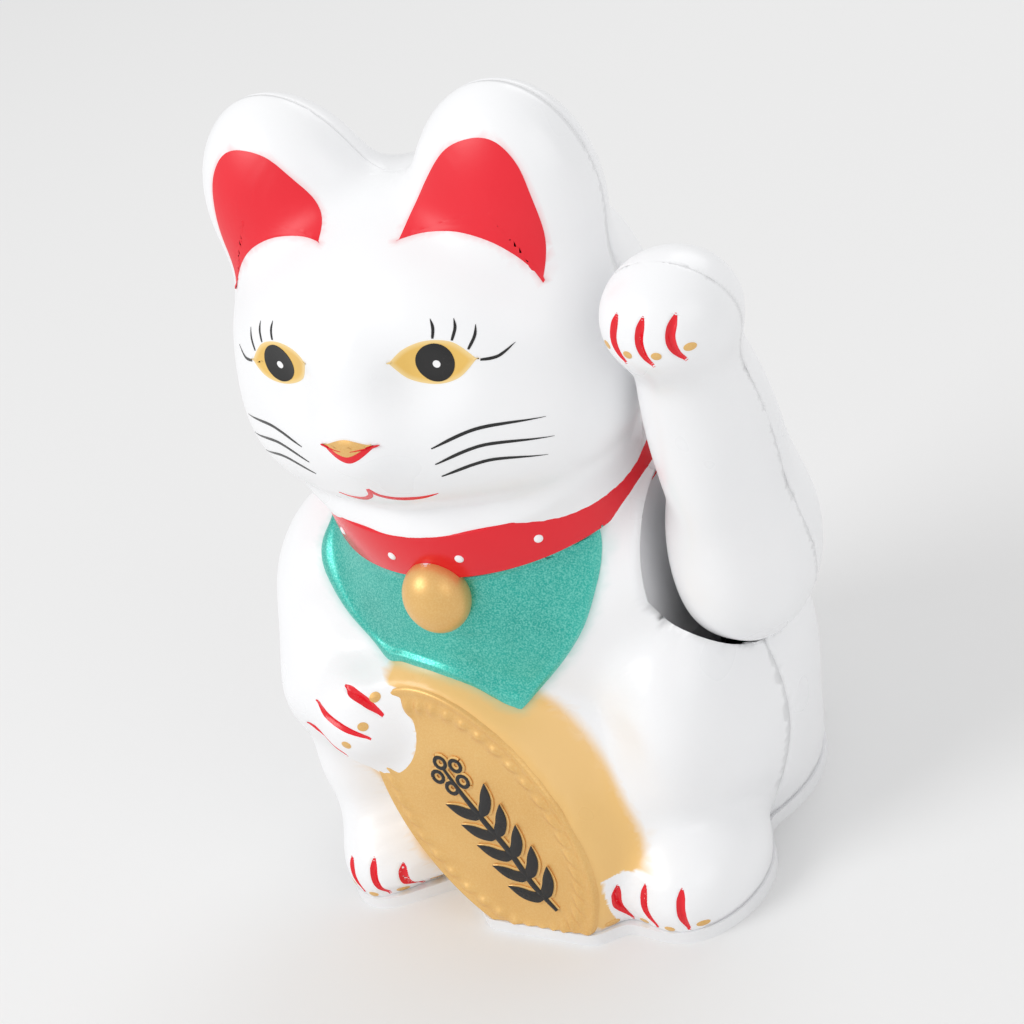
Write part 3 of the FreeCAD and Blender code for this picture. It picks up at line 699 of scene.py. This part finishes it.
def dress(name, source, body, lines=(), folds=()):
    """A moulding with its slots, folds and seam, ready for paint."""
    piece = copy_of(name, source)
    bare = surface_of([piece])
    spots = grooves_on(bare, lines, SLOT_DEPTH, SLOT_HALF_WIDTH)
    for drawing, depth, half_width in folds:
        spots += grooves_on(bare, (drawing,), depth, half_width)
    if spots:
        press_grooves(piece, spots)
    mark_seam(piece)
    soften(piece, MOULDING_ANGLE)
    wear(piece, white_plastic, body)
    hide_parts(source)
    print(name, "has", len(piece.data.polygons), "faces")
    return piece


front_moulding = dress(
    "front_moulding", "front_shell", "root",
    SLOTS_LEFT_FOOT + SLOTS_RIGHT_FOOT + SLOTS_HOLDING_PAW,
    ((LOWER_LIP, 0.35, 1.3),),
)
rear_moulding = dress("rear_moulding", "rear_shell", "root")
arm_front_moulding = dress("arm_front_moulding", "arm_front_half", "arm", SLOTS_WAVING_PAW)
dress("arm_rear_moulding", "arm_rear_half", "arm")

figure_surface = surface_of([front_moulding, rear_moulding])
arm_surface = surface_of([arm_front_moulding])
on_figure = from_front(figure_surface)
on_arm = from_front(arm_surface)
round_chest = from_around(figure_surface)

# %% [markdown]
# ## The bib
# The bib is a raised panel of the moulding with a rounded rim, sprayed a metallic teal
# whose flakes glitter. A rim that rises and falls again within two millimetres of the
# outline gives the bright line that runs round it. The teal is also painted paler
# along the outline, a painted highlight of that rim.

# %% Model the bib
BIB_FOOT = 0.1
BIB_FIELD = 0.4
BIB_RISE = 0.5
BIB_RIM = 0.45
BIB_RIM_PLACE = 1.1
BIB_RIM_HALF_WIDTH = 0.8


def bib_height(edge):
    """Height above the chest at a distance from the outline."""
    rise = 1 - math.exp(-(edge / BIB_RISE) ** 2)
    rim = math.exp(-((edge - BIB_RIM_PLACE) / BIB_RIM_HALF_WIDTH) ** 2)
    return BIB_FOOT + BIB_FIELD * rise + BIB_RIM * rim


BELL_REACH = 10.5
BELL_FOOT = 77.0


def on_chest(arc, up):
    """Drops a point on the chest, passing behind the bell."""
    if abs(arc) >= BELL_REACH or up < BELL_FOOT:
        return round_chest(arc, up)
    left, left_normal = round_chest(-BELL_REACH, up)
    right, right_normal = round_chest(BELL_REACH, up)
    share = (arc + BELL_REACH) / (2 * BELL_REACH)
    normal = left_normal.lerp(right_normal, share).normalized()
    crown = BELL_REACH ** 2 / (2 * CHEST_RADIUS) * (1 - (arc / BELL_REACH) ** 2)
    return left.lerp(right, share) + normal * crown * MM, normal


BIB_MIDDLE = (-3.0, 82.0)
bib = patch(
    "bib", BIB, on_chest, bib_height, rings=44, spacing=0.9, depth=0.8, smooth=6,
    middle=BIB_MIDDLE)

teal_paint, tree, shader = blank_finish("teal_paint")
flakes = ranged(tree, speckle(tree, 2600.0, 1.0), 0.0, 1.0, 0.38, 0.68)
cloud = speckle(tree, 60.0)
colour = blended(tree, cloud, TEAL_DEEP, TEAL)
colour = blended(tree, ranged(tree, flakes, 0.0, 0.45), colour, tone(150, 236, 220))
# painted highlight: the teal is made paler within 1.6 mm of the outline, where the rounded rim
# catches the light
rim_highlight_share = ranged(tree, measured(tree, "edge"), 0.35, 0.0, 0.0, 1.6)
colour = blended(tree, rim_highlight_share, colour, tone(120, 222, 205))
tree.links.new(colour, shader.inputs["Base Color"])
tree.links.new(ranged(tree, flakes, 0.42, 0.30), shader.inputs["Roughness"])
shader.inputs["Metallic"].default_value = 0.55
shader.inputs["Coat Weight"].default_value = 0.35
shader.inputs["Coat Roughness"].default_value = 0.22
skin(tree, shader, 2200.0, 0.08, 0.0001)
wear(bib, teal_paint, "root")
print("bib:", len(bib.data.polygons), "faces")

# %% [markdown]
# ## The collar
# The collar is a band moulded round the neck and painted a deep glossy red. It lies on
# a tilted ellipse: lower at the throat, higher at the nape. A ring is stretched to that
# ellipse, given a wall, and its edges are rounded.

# %% Model the collar
COLLAR_CENTRE = Vector((0.0, -11.5, 104.7)) * MM
COLLAR_RADII = (41.5, 38.1)
COLLAR_HALF_HEIGHT = 6.35
COLLAR_WALL = 1.4
COLLAR_EDGE = 0.55
COLLAR_TILT = math.radians(9.4)

deselect()
bpy.ops.mesh.primitive_cylinder_add(
    vertices=160, radius=1, depth=2, end_fill_type="NOTHING", location=(0, 0, 0))
collar = bpy.context.object
collar.name = "collar"
bpy.ops.object.mode_set(mode="EDIT")
bpy.ops.mesh.select_all(action="SELECT")
bpy.ops.transform.resize(
    value=(COLLAR_RADII[0] * MM, COLLAR_RADII[1] * MM, COLLAR_HALF_HEIGHT * MM),
    center_override=(0, 0, 0))
bpy.ops.transform.rotate(value=-COLLAR_TILT, orient_axis="X", center_override=(0, 0, 0))
bpy.ops.transform.translate(value=COLLAR_CENTRE)
bpy.ops.object.mode_set(mode="OBJECT")
front_low = min(collar.data.vertices, key=lambda vertex: vertex.co.z).co
print("lowest point of the collar:", [round(c / MM, 1) for c in front_low])
wall = collar.modifiers.new("wall", "SOLIDIFY")
wall.thickness = COLLAR_WALL * MM
wall.offset = -1
edge_round = collar.modifiers.new("edge_round", "BEVEL")
edge_round.width = COLLAR_EDGE * MM
edge_round.segments = 4
edge_round.limit_method = "ANGLE"
apply_modifiers(collar)
face_outward(collar)
soften(collar)

red_gloss = coat("red_gloss", tone(236, 24, 42), tone(222, 14, 32), (0.18, 0.26), scale=50.0)
wear(collar, red_gloss, "root")

# %% [markdown]
# ## The studs of the collar
# Four small white dots stand on the band. Each is half a small sphere, flattened to a
# dome, set on the ellipse and turned to face out from the neck.

# %% Model the studs
STUD_ANGLES = (-39.0, -12.6, 12.0, 38.0)
STUD_RADIUS = 1.05
STUD_CUT = 0.1
STUD_DOME = 0.45
STUD_DROP = -0.6
white_gloss = coat("white_gloss", tone(250, 250, 250), tone(240, 240, 242), (0.3, 0.36))
tilt = Matrix.Rotation(COLLAR_TILT, 4, "X")
for stud_number, degrees in enumerate(STUD_ANGLES):
    angle = math.radians(degrees)
    deselect()
    bpy.ops.mesh.primitive_uv_sphere_add(segments=24, ring_count=12, radius=STUD_RADIUS * MM)
    stud = bpy.context.object
    stud.name = f"stud_{stud_number + 1}"
    bpy.ops.object.mode_set(mode="EDIT")
    bpy.ops.mesh.select_all(action="SELECT")
    bpy.ops.mesh.bisect(
        plane_co=(0, STUD_CUT * MM, 0), plane_no=(0, 1, 0), use_fill=True, clear_outer=True)
    bpy.ops.mesh.select_all(action="SELECT")
    bpy.ops.transform.resize(value=(1, STUD_DOME, 1), center_override=(0, 0, 0))
    bpy.ops.object.mode_set(mode="OBJECT")
    spot = Vector((
        math.sin(angle) * COLLAR_RADII[0],
        -math.cos(angle) * COLLAR_RADII[1],
        STUD_DROP,
    )) * MM
    outward = math.atan2(
        math.sin(angle) / COLLAR_RADII[0], math.cos(angle) / COLLAR_RADII[1])
    turn = Matrix.Rotation(outward, 4, "Z")
    stud.data.transform(Matrix.Translation(COLLAR_CENTRE) @ tilt @ Matrix.Translation(spot) @ turn)
    soften(stud)
    wear(stud, white_gloss, "root")
print("studs:", len(STUD_ANGLES))

# %% [markdown]
# ## The bell
# The bell is an egg moulded on the chest right below the collar and painted gold. It
# is a sphere stretched to three radii. Its top stands before the collar's lower edge.

# %% Model the bell
BELL_CENTRE = Vector((0.0, -49.0, 88.2)) * MM
BELL_RADII = (7.9, 6.9, 8.8)
deselect()
bpy.ops.mesh.primitive_uv_sphere_add(segments=48, ring_count=32, radius=1 * MM)
bell = bpy.context.object
bell.name = "bell"
bpy.ops.object.mode_set(mode="EDIT")
bpy.ops.mesh.select_all(action="SELECT")
bpy.ops.transform.resize(value=BELL_RADII, center_override=(0, 0, 0))
bpy.ops.transform.translate(value=BELL_CENTRE)
bpy.ops.object.mode_set(mode="OBJECT")
soften(bell)

gold_paint, tree, shader = blank_finish("gold_paint")
cloud = speckle(tree, 70.0)
flakes = ranged(tree, speckle(tree, 2400.0, 1.0), 0.0, 1.0, 0.4, 0.7)
colour = blended(tree, cloud, GOLD_DEEP, GOLD)
colour = blended(tree, ranged(tree, flakes, 0.0, 0.16), colour, tone(250, 226, 168))
tree.links.new(colour, shader.inputs["Base Color"])
tree.links.new(ranged(tree, flakes, 0.40, 0.34), shader.inputs["Roughness"])
shader.inputs["Metallic"].default_value = 0.4
skin(tree, shader, 1800.0, 0.03, 0.0001)
wear(bell, gold_paint, "root")
print("bell:", len(bell.data.polygons), "faces")

# %% [markdown]
# ## The coin
# The cat holds an oval coin against its chest. It is part of the front moulding: a
# flat field inside a rope border, a plain rim outside, and flanks that spread back into
# the body. A disc is built ring by ring in the coin's own frame, and its height is read
# from how far out each point lies.

# %% Model the face of the coin
COIN_CENTRE = Vector((-2.0, -57.0, 31.0)) * MM
COIN_RADII = (22.7, 37.7)
COIN_RINGS = 64
COIN_SPOKES = 260
ROPE_COUNT = 38
BASE_TOP = 3.3
ROPE_SLANT = 26
ROPE_PLACE = 0.85
ROPE_HALF_WIDTH = 0.05
ROPE_LEAST = 0.2
RIM_HEIGHT = 0.4
RIM_PLACE = 0.965
RIM_HALF_WIDTH = 0.035
FIELD_LIFT = 0.3
FALL_START = 0.975
FALL_DEPTH = 1.6
coin_turn = Matrix.Rotation(math.radians(-30), 4, "Y") @ Matrix.Rotation(math.radians(-7), 4, "X")
coin_frame = Matrix.Translation(COIN_CENTRE) @ coin_turn


def hump(value, middle, half_width):
    """A smooth rise and fall, 1 at the middle."""
    return math.exp(-((value - middle) / half_width) ** 2)


def coin_relief(reach, angle):
    """Height above the field, by share of the radius and angle, in mm."""
    rope = 0.5 + 0.5 * math.cos(ROPE_COUNT * angle + ROPE_SLANT * reach)
    relief = hump(reach, ROPE_PLACE, ROPE_HALF_WIDTH) * (ROPE_LEAST + (1 - ROPE_LEAST) * rope)
    relief += RIM_HEIGHT * hump(reach, RIM_PLACE, RIM_HALF_WIDTH)
    return relief


deselect()
bpy.ops.mesh.primitive_circle_add(vertices=COIN_SPOKES, radius=1, fill_type="NOTHING")
coin_face = bpy.context.object
coin_face.name = "coin_face"
bpy.ops.object.mode_set(mode="EDIT")
bpy.ops.mesh.select_all(action="SELECT")
for ring in range(COIN_RINGS, 1, -1):
    bpy.ops.mesh.extrude_edges_move()
    shrink = (ring - 1) / ring
    bpy.ops.transform.resize(value=(shrink, shrink, shrink), center_override=(0, 0, 0))
bpy.ops.mesh.extrude_edges_move()
bpy.ops.mesh.merge(type="CENTER")
bpy.ops.object.mode_set(mode="OBJECT")
coin_front = (coin_turn @ Vector((0, -1, 0))).normalized()
for vertex in coin_face.data.vertices:
    reach = vertex.co.length
    angle = math.atan2(vertex.co.y, vertex.co.x)
    fall = FALL_DEPTH * max(0.0, (reach - FALL_START) / (1 - FALL_START)) ** 2
    height = FIELD_LIFT + coin_relief(reach, angle) - fall
    spot = Vector((vertex.co.x * COIN_RADII[0], -height, vertex.co.y * COIN_RADII[1])) * MM
    vertex.co = coin_frame @ spot
turn_faces_along(coin_face, [coin_front] * len(coin_face.data.vertices))
bpy.ops.object.mode_set(mode="EDIT")
bpy.ops.mesh.select_all(action="SELECT")
bpy.ops.mesh.bisect(plane_co=(0, 0, BASE_TOP * MM), plane_no=(0, 0, -1), clear_outer=True)
bpy.ops.object.mode_set(mode="OBJECT")
thicken(coin_face, 0.6)
soften(coin_face, 50)
wear(coin_face, gold_paint, "root")
print("coin face:", len(coin_face.data.polygons), "faces")

# %% [markdown]
# ## The ornament on the coin
# A coin like this carries good-luck writing. Here it carries a climbing plant instead:
# a straight stem with plain leaves in pairs and one open blossom. It stands up
# from the field with a gold shoulder, and only its top is painted black.

# %% Model the ornament
STEM = ((2.4, -27.0), (1.2, -19.0), (1.6, -10.0), (1.0, -1.0), (0.6, 8.0), (0.8, 15.0))
LEAF_ROOTS = (-23.0, -17.0, -11.0, -5.0, 1.0)
LEAF_BASE = 1.4
LEAF_LINE = ((0.0, 0.0), (3.6, 2.2), (7.2, 6.4))
BLOSSOM_MIDDLE = (1.2, 13.0)
BLOSSOM_REACH = 3.6
PETALS = 5
PETAL_RADIUS = 1.5
PETAL_TURN = 20
PETAL_STEPS = 8


def on_coin(across, up):
    """Drops a point of the coin's own drawing on its field."""
    return coin_frame @ (Vector((across, -FIELD_LIFT, up)) * MM), coin_front


def blossom_petals():
    """Five loops round a middle."""
    petals = []
    for petal in range(PETALS):
        turn = math.radians(360 / PETALS * petal + PETAL_TURN)
        ring = []
        for step in range(PETAL_STEPS + 1):
            around = math.radians(360 / PETAL_STEPS * step)
            out = BLOSSOM_REACH + PETAL_RADIUS * math.cos(around)
            side = PETAL_RADIUS * math.sin(around)
            ring.append((
                BLOSSOM_MIDDLE[0] + out * math.cos(turn) - side * math.sin(turn),
                BLOSSOM_MIDDLE[1] + out * math.sin(turn) + side * math.cos(turn),
            ))
        petals.append(tuple(ring))
    return petals


def leaf_pair(root):
    """Two plain leaves that rise to either side of the stem."""
    return [
        tuple((LEAF_BASE + side * out, root + rise) for out, rise in LEAF_LINE)
        for side in (-1, 1)
    ]


def ornament_lines(extra, petal_width):
    """The drawing at a given stroke width."""
    lines = [(STEM, 1.7 + extra, 0.6, 0.5)]
    for root in LEAF_ROOTS:
        lines += [(leaf, 3.0 + extra, 0.25, 0.08) for leaf in leaf_pair(root)]
    lines += [(petal, petal_width, 1.0, 1.0) for petal in blossom_petals()]
    return lines


shoulder = stroke(
    "ornament_shoulder", ornament_lines(1.1, 1.9), on_coin, lift=0.32, depth=0.6, crown=0.3)
wear(shoulder, gold_paint, "root")
black_gloss = coat("black_gloss", tone(28, 27, 27), tone(16, 15, 16), (0.22, 0.34), scale=120.0)
ornament = stroke(
    "ornament_black", ornament_lines(0.0, 1.0), on_coin, lift=0.66, depth=0.5, crown=0.1)
wear(ornament, black_gloss, "root")
print("ornament:", len(ornament.data.polygons), "faces")

# %% [markdown]
# ## The ears
# The hollow of each ear is sprayed a bright red through a mask. The spray is nearly
# flush with the plastic, so the painted area is only lifted by a tenth of a millimetre.

# %% Paint the ears
COAT_LIFT = 0.06
COAT_EDGE = 0.5
EAR_MIDDLE = (31.0, 174.5)


def flush(edge):
    """A coat of paint: a tenth of a millimetre, thinner at its edge."""
    return COAT_LIFT + COAT_LIFT * min(edge / COAT_EDGE, 1.0)


red_matt = coat("red_matt", tone(238, 30, 48), tone(226, 18, 38), (0.36, 0.46), scale=45.0)
ears = []
for side, turn in (("left", 1), ("right", -1)):
    drawing = EAR_LINING if turn == 1 else mirrored(EAR_LINING)
    ear = patch(
        f"ear_lining_{side}", drawing, on_figure, flush, rings=22,
        middle=(EAR_MIDDLE[0] * turn, EAR_MIDDLE[1]))
    wear(ear, red_matt, "root")
    ears.append(ear)
print("ear linings:", len(ears))

# %% [markdown]
# ## The eyes
# Each eye is a gold almond with a soft edge, a round black pupil and a small white
# glint near its middle. The three layers are printed one over the other.

# %% Paint the eyes
PUPIL_MIDDLE = (19.9, 148.7)
PUPIL_RADIUS = 4.25
GLINT_RADIUS = 0.85
GLINT_SHIFT = (0.25, -0.3)
PUPIL_LIFT = 0.2
GLINT_LIFT = 0.29


def disc(middle, radius, squeeze=1.0, count=12):
    """A round outline."""
    return tuple(
        (middle[0] + radius * math.cos(math.tau * step / count),
         middle[1] + radius * squeeze * math.sin(math.tau * step / count))
        for step in range(count)
    )


eye_gold, tree, shader = blank_finish("eye_gold")
cloud = speckle(tree, 120.0)
inner = blended(tree, cloud, tone(226, 180, 84), tone(240, 200, 112))
edge_share = ranged(tree, measured(tree, "edge"), 0.75, 0.0, 0.0, 1.1)
tree.links.new(blended(tree, edge_share, inner, tone(246, 222, 168)), shader.inputs["Base Color"])
tree.links.new(ranged(tree, cloud, 0.3, 0.38), shader.inputs["Roughness"])
skin(tree, shader, 900.0, 0.03)

for side, turn in (("left", 1), ("right", -1)):
    eye_drawing = EYE if turn == 1 else mirrored(EYE)
    eye = patch(f"eye_{side}", eye_drawing, on_figure, flush, rings=10, spacing=0.5, smooth=2)
    wear(eye, eye_gold, "root")
    middle = (PUPIL_MIDDLE[0] * turn, PUPIL_MIDDLE[1])
    pupil = patch(f"pupil_{side}", disc(middle, PUPIL_RADIUS), on_figure,
                  lambda edge: PUPIL_LIFT, rings=8, spacing=0.5, smooth=2)
    wear(pupil, black_gloss, "root")
    spark = (middle[0] + GLINT_SHIFT[0], middle[1] + GLINT_SHIFT[1])
    glint = patch(f"glint_{side}", disc(spark, GLINT_RADIUS), on_figure,
                  lambda edge: GLINT_LIFT, rings=3, spacing=0.3)
    wear(glint, white_gloss, "root")
print("eyes painted")

# %% [markdown]
# ## Lashes and whiskers
# These are single strokes of a fine brush, drawn out to almost nothing at the tip. A
# strip of faces follows each curve, its width swelling and tapering like the stroke.

# %% Draw the lashes and whiskers
LASH_WIDTH = 0.62
WHISKER_WIDTH = 0.75
BRUSH_LIFT = 0.07
for side, turn in (("left", 1), ("right", -1)):
    lashes = [
        (drawing if turn == 1 else mirrored(drawing), LASH_WIDTH, 0.7, 0.12) for drawing in LASHES]
    brush = stroke(
        f"lashes_{side}", lashes, on_figure, lift=BRUSH_LIFT, depth=0.2, spacing=0.4, crown=0.02)
    wear(brush, black_gloss, "root")
    whiskers = [
        (drawing if turn == 1 else mirrored(drawing), WHISKER_WIDTH, 0.35, 0.1)
        for drawing in WHISKERS]
    brush = stroke(
        f"whiskers_{side}", whiskers, on_figure, lift=BRUSH_LIFT, depth=0.2, crown=0.02)
    wear(brush, black_gloss, "root")
print("lashes and whiskers drawn")

# %% [markdown]
# ## Nose and mouth
# The nose is a small gold triangle over a red one that shows below it as a rim. The
# mouth is two red strokes that start together under the nose and run out to the sides.

# %% Paint the nose and the mouth
MOUTH_WIDTH = 1.1


def nose_height(edge):
    """The gold of the nose lies over the red and swells towards its middle."""
    return 0.2 + 0.15 * min(edge, 1.0)


nose_edge = patch("nose_edge", NOSE_EDGE, on_figure, flush, rings=6, spacing=0.5, smooth=1)
wear(nose_edge, red_gloss, "root")
nose = patch("nose", NOSE, on_figure, nose_height, rings=6, spacing=0.5)
wear(nose, gold_paint, "root")
mouth_lines = [(drawing, MOUTH_WIDTH, 0.9, 0.15) for drawing in MOUTH]
mouth = stroke("mouth", mouth_lines, on_figure, lift=0.08, depth=0.25, spacing=0.5, crown=0.03)
wear(mouth, red_gloss, "root")
print("nose and mouth painted")

# %% [markdown]
# ## The paws
# The slots between the toes are filled with red paint that tapers off upward, and a dab
# of gold between them stands for each claw.

# %% Paint the paws
SLOT_PAINT_WIDTH = 1.9


def claw_height(edge):
    """A dab of paint, a little thicker in its middle."""
    return 0.08 + 0.15 * min(edge, 1)


def paint_paw(name, slots, nails, drop, body, nail_radii):
    """Red in each slot and a dab of gold for each claw."""
    lines = [(drawing, SLOT_PAINT_WIDTH, 0.15, 0.35) for drawing in slots]
    toes = stroke(
        f"{name}_slots", lines, drop, lift=BRUSH_LIFT, depth=0.3, spacing=0.5, crown=0.0)
    wear(toes, red_gloss, body)
    for number, middle in enumerate(nails):
        outline = disc(middle, nail_radii[0], nail_radii[1] / nail_radii[0])
        claw = patch(
            f"{name}_claw_{number + 1}", outline, drop, claw_height, rings=4, spacing=0.3)
        wear(claw, gold_paint, body)


paint_paw("feet", SLOTS_LEFT_FOOT + SLOTS_RIGHT_FOOT, NAILS_FEET, on_figure, "root", (1.3, 0.85))
paint_paw("holding_paw", SLOTS_HOLDING_PAW, NAILS_HOLDING_PAW, on_figure, "root", (1.3, 1.1))
paint_paw("waving_paw", SLOTS_WAVING_PAW, NAILS_WAVING_PAW, on_arm, "arm", (1.1, 0.9))
print("paws painted")

# %% [markdown]
# ## Overspray
# The gold of the coin runs out over its flanks and fades into the white, and a breath of
# teal and red hangs round the bib and the ears. Each is worked out at the vertices of the
# front moulding from the distance to the painted area.

# %% Spray past the edges
IN_FRONT_OF_COIN = -0.2
FLANK_DEPTH = 24
FLANK_REACH = 1.7
SPRAY_REACH = (1.3, 1.42)
SPRAY_DEPTH = (12.0, 17.0)
PAW_SIDE = -20
PAW_LOW = 43
FOOT_SIDE = 26
FOOT_HIGH = 17
FOOT_BACK = -50
BORDER_EDGE = 0.05


def faded(value, start, end):
    """1 below start, 0 above end, smooth between."""
    share = min(max((value - start) / (end - start), 0.0), 1.0)
    return 1 - share * share * (3 - 2 * share)


def coin_spray(point):
    """How much gold has reached a point of the moulding."""
    spot = coin_frame.inverted() @ point / MM
    reach = math.hypot(spot.x / COIN_RADII[0], spot.z / COIN_RADII[1])
    if spot.y < IN_FRONT_OF_COIN or spot.y > FLANK_DEPTH or reach > FLANK_REACH:
        return 0.0
    if point.z < BASE_TOP * MM:
        return 0.0
    if point.x < PAW_SIDE * MM and point.z > PAW_LOW * MM:
        return 0.0
    if point.x > FOOT_SIDE * MM and point.z < FOOT_HIGH * MM and point.y < FOOT_BACK * MM:
        return 0.0
    return faded(reach, *SPRAY_REACH) * faded(spot.y, *SPRAY_DEPTH)


def edge_spray(point, finder, reach, strength):
    """How much paint has drifted past an outline."""
    gap = finder.find(point)[2] / MM
    return strength * math.exp(-(gap / reach) ** 2)


def outline_finder(painted):
    """Search tree over the border vertices of painted areas."""
    spots = [
        vertex.co.copy() for piece in painted for vertex, edge in
        zip(piece.data.vertices, piece.data.attributes["edge"].data) if edge.value < BORDER_EDGE]
    finder = KDTree(len(spots))
    for index, spot in enumerate(spots):
        finder.insert(spot, index)
    finder.balance()
    return finder


bib_border = outline_finder([bib])
ear_border = outline_finder(ears)
points = [vertex.co.copy() for vertex in front_moulding.data.vertices]
number_at_vertices(front_moulding, "gold_spray", [coin_spray(point) for point in points])
number_at_vertices(
    front_moulding, "teal_spray", [edge_spray(point, bib_border, 1.3, 0.35) for point in points])
number_at_vertices(
    front_moulding, "red_spray", [edge_spray(point, ear_border, 0.8, 0.3) for point in points])
print("overspray laid on", len(points), "vertices")

# %% [markdown]
# ## The screen behind the arm
# The body is cut open where the arm swings. A plain ring of white plastic stands just
# inside that opening, round the axle, so that the shade of the hollow body does not
# show beside the arm: its white is painted light over that shade. A circle is drawn in
# to the size of the axle boss and given the depth of a wall.

# %% Model the screen
SCREEN_PLACE = Vector((40.6, -9.0, 78.0)) * MM
SCREEN_RADIUS = 22.0 * MM
SCREEN_HOLE = 5.5 * MM
SCREEN_WALL = 0.8
deselect()
bpy.ops.mesh.primitive_circle_add(
    vertices=96, radius=SCREEN_RADIUS, fill_type="NOTHING", location=SCREEN_PLACE,
    rotation=(0, math.pi / 2, 0))
screen = bpy.context.object
screen.name = "shoulder_screen"
place_in_mesh(screen)
bpy.ops.object.mode_set(mode="EDIT")
bpy.ops.mesh.select_all(action="SELECT")
bpy.ops.mesh.extrude_edges_move()
hole = SCREEN_HOLE / SCREEN_RADIUS
bpy.ops.transform.resize(value=(hole, hole, hole), center_override=SCREEN_PLACE)
bpy.ops.object.mode_set(mode="OBJECT")
turn_faces_along(screen, [Vector((1, 0, 0))] * len(screen.data.vertices))
thicken(screen, SCREEN_WALL)
face_outward(screen)
soften(screen)
# painted light: a plain white ring covers the shade of the hollow body, so the opening beside the arm
# reads white
screen_painted_light = coat(
    "screen_painted_light", tone(238, 238, 239), tone(226, 226, 229), (0.36, 0.46), scale=60.0)
wear(screen, screen_painted_light, "root")
print("screen:", len(screen.data.polygons), "faces")

# %% [markdown]
# ## The working parts
# Under the skin are the parts that make the cat beckon and the ones that close it: the
# base and its door, the swing frame, the lever with its weight and magnet, the coil and
# its board, the cells and their springs. They keep their engineered shapes and get the
# finish of what each is made of.

# %% Finish the working parts
METAL_DETAIL = 4.0
METAL_SKIN = 6


def worn_metal(name, light, dark, gloss, scale):
    """Bare metal with a fine clouded surface."""
    material, tree, shader = blank_finish(name)
    cloud = speckle(tree, scale, METAL_DETAIL)
    tree.links.new(blended(tree, cloud, dark, light), shader.inputs["Base Color"])
    tree.links.new(ranged(tree, cloud, gloss[0], gloss[1]), shader.inputs["Roughness"])
    shader.inputs["Metallic"].default_value = 1.0
    skin(tree, shader, scale * METAL_SKIN, 0.05, 0.2 * MM)
    return material


# each finish: light tone, dark tone, gloss from and to, size of its clouds, metal share
COATED = {
    "base_plastic": ((240, 240, 241), (230, 231, 233), (0.34, 0.44), 60.0, 0.0),
    "inner_plastic": ((226, 227, 228), (212, 213, 216), (0.4, 0.52), 80.0, 0.0),
    "black_plastic": ((34, 34, 36), (22, 22, 24), (0.4, 0.52), 110.0, 0.0),
    "red_sleeve": ((206, 32, 34), (176, 22, 26), (0.38, 0.48), 140.0, 0.0),
    "black_sleeve": ((38, 38, 40), (24, 24, 26), (0.4, 0.5), 140.0, 0.0),
    "board_green": ((30, 110, 70), (18, 84, 52), (0.3, 0.42), 200.0, 0.0),
    "component_black": ((40, 40, 42), (24, 24, 26), (0.35, 0.5), 260.0, 0.0),
    "cell_wrap": ((60, 118, 74), (44, 96, 58), (0.22, 0.32), 70.0, 0.0),
    "ferrite": ((74, 72, 72), (52, 50, 50), (0.5, 0.66), 300.0, 0.3),
}
finishes = {
    name: coat(name, tone(*light), tone(*dark), gloss, metal, scale)
    for name, (light, dark, gloss, scale, metal) in COATED.items()
}
finishes["steel"] = worn_metal("steel", tone(206, 206, 204), tone(170, 170, 168), (0.24, 0.38), 160.0)
finishes["copper"] = worn_metal("copper", tone(214, 132, 84), tone(176, 96, 56), (0.26, 0.4), 900.0)

# which finish and slot each group of parts has
GROUPS = (
    ("base_plastic", "white_base", ("base_plate", "battery_door")),
    ("inner_plastic", "inner_plastic", (
        "swing_frame", "pendulum_lever", "axle_rings", "coil_bobbin")),
    ("steel", "steel", (
        "axle", "counterweight", "base_screws", "frame_screws", "board_screw",
        "contact_springs", "contact_plates", "contact_bridge")),
    ("ferrite", "ferrite", ("magnet",)),
    ("cell_wrap", "cell_wrap", ("battery_cells",)),
    ("board_green", "board", ("circuit_board",)),
    ("component_black", "component_black", ("board_components",)),
    ("copper", "copper", ("drive_coil",)),
    ("black_plastic", "black_plastic", ("switch_housing", "switch_slider")),
    ("red_sleeve", "red_insulation", ("red_lead",)),
    ("black_sleeve", "black_insulation", ("black_lead", "switch_leads")),
)
finished = 0
for finish_name, slot_name, node_names in GROUPS:
    for node_name in node_names:
        node = nodes[node_name]
        node.data.materials.clear()
        node.data.materials.append(finishes[finish_name])
        finished += 1
print("working parts finished:", finished)
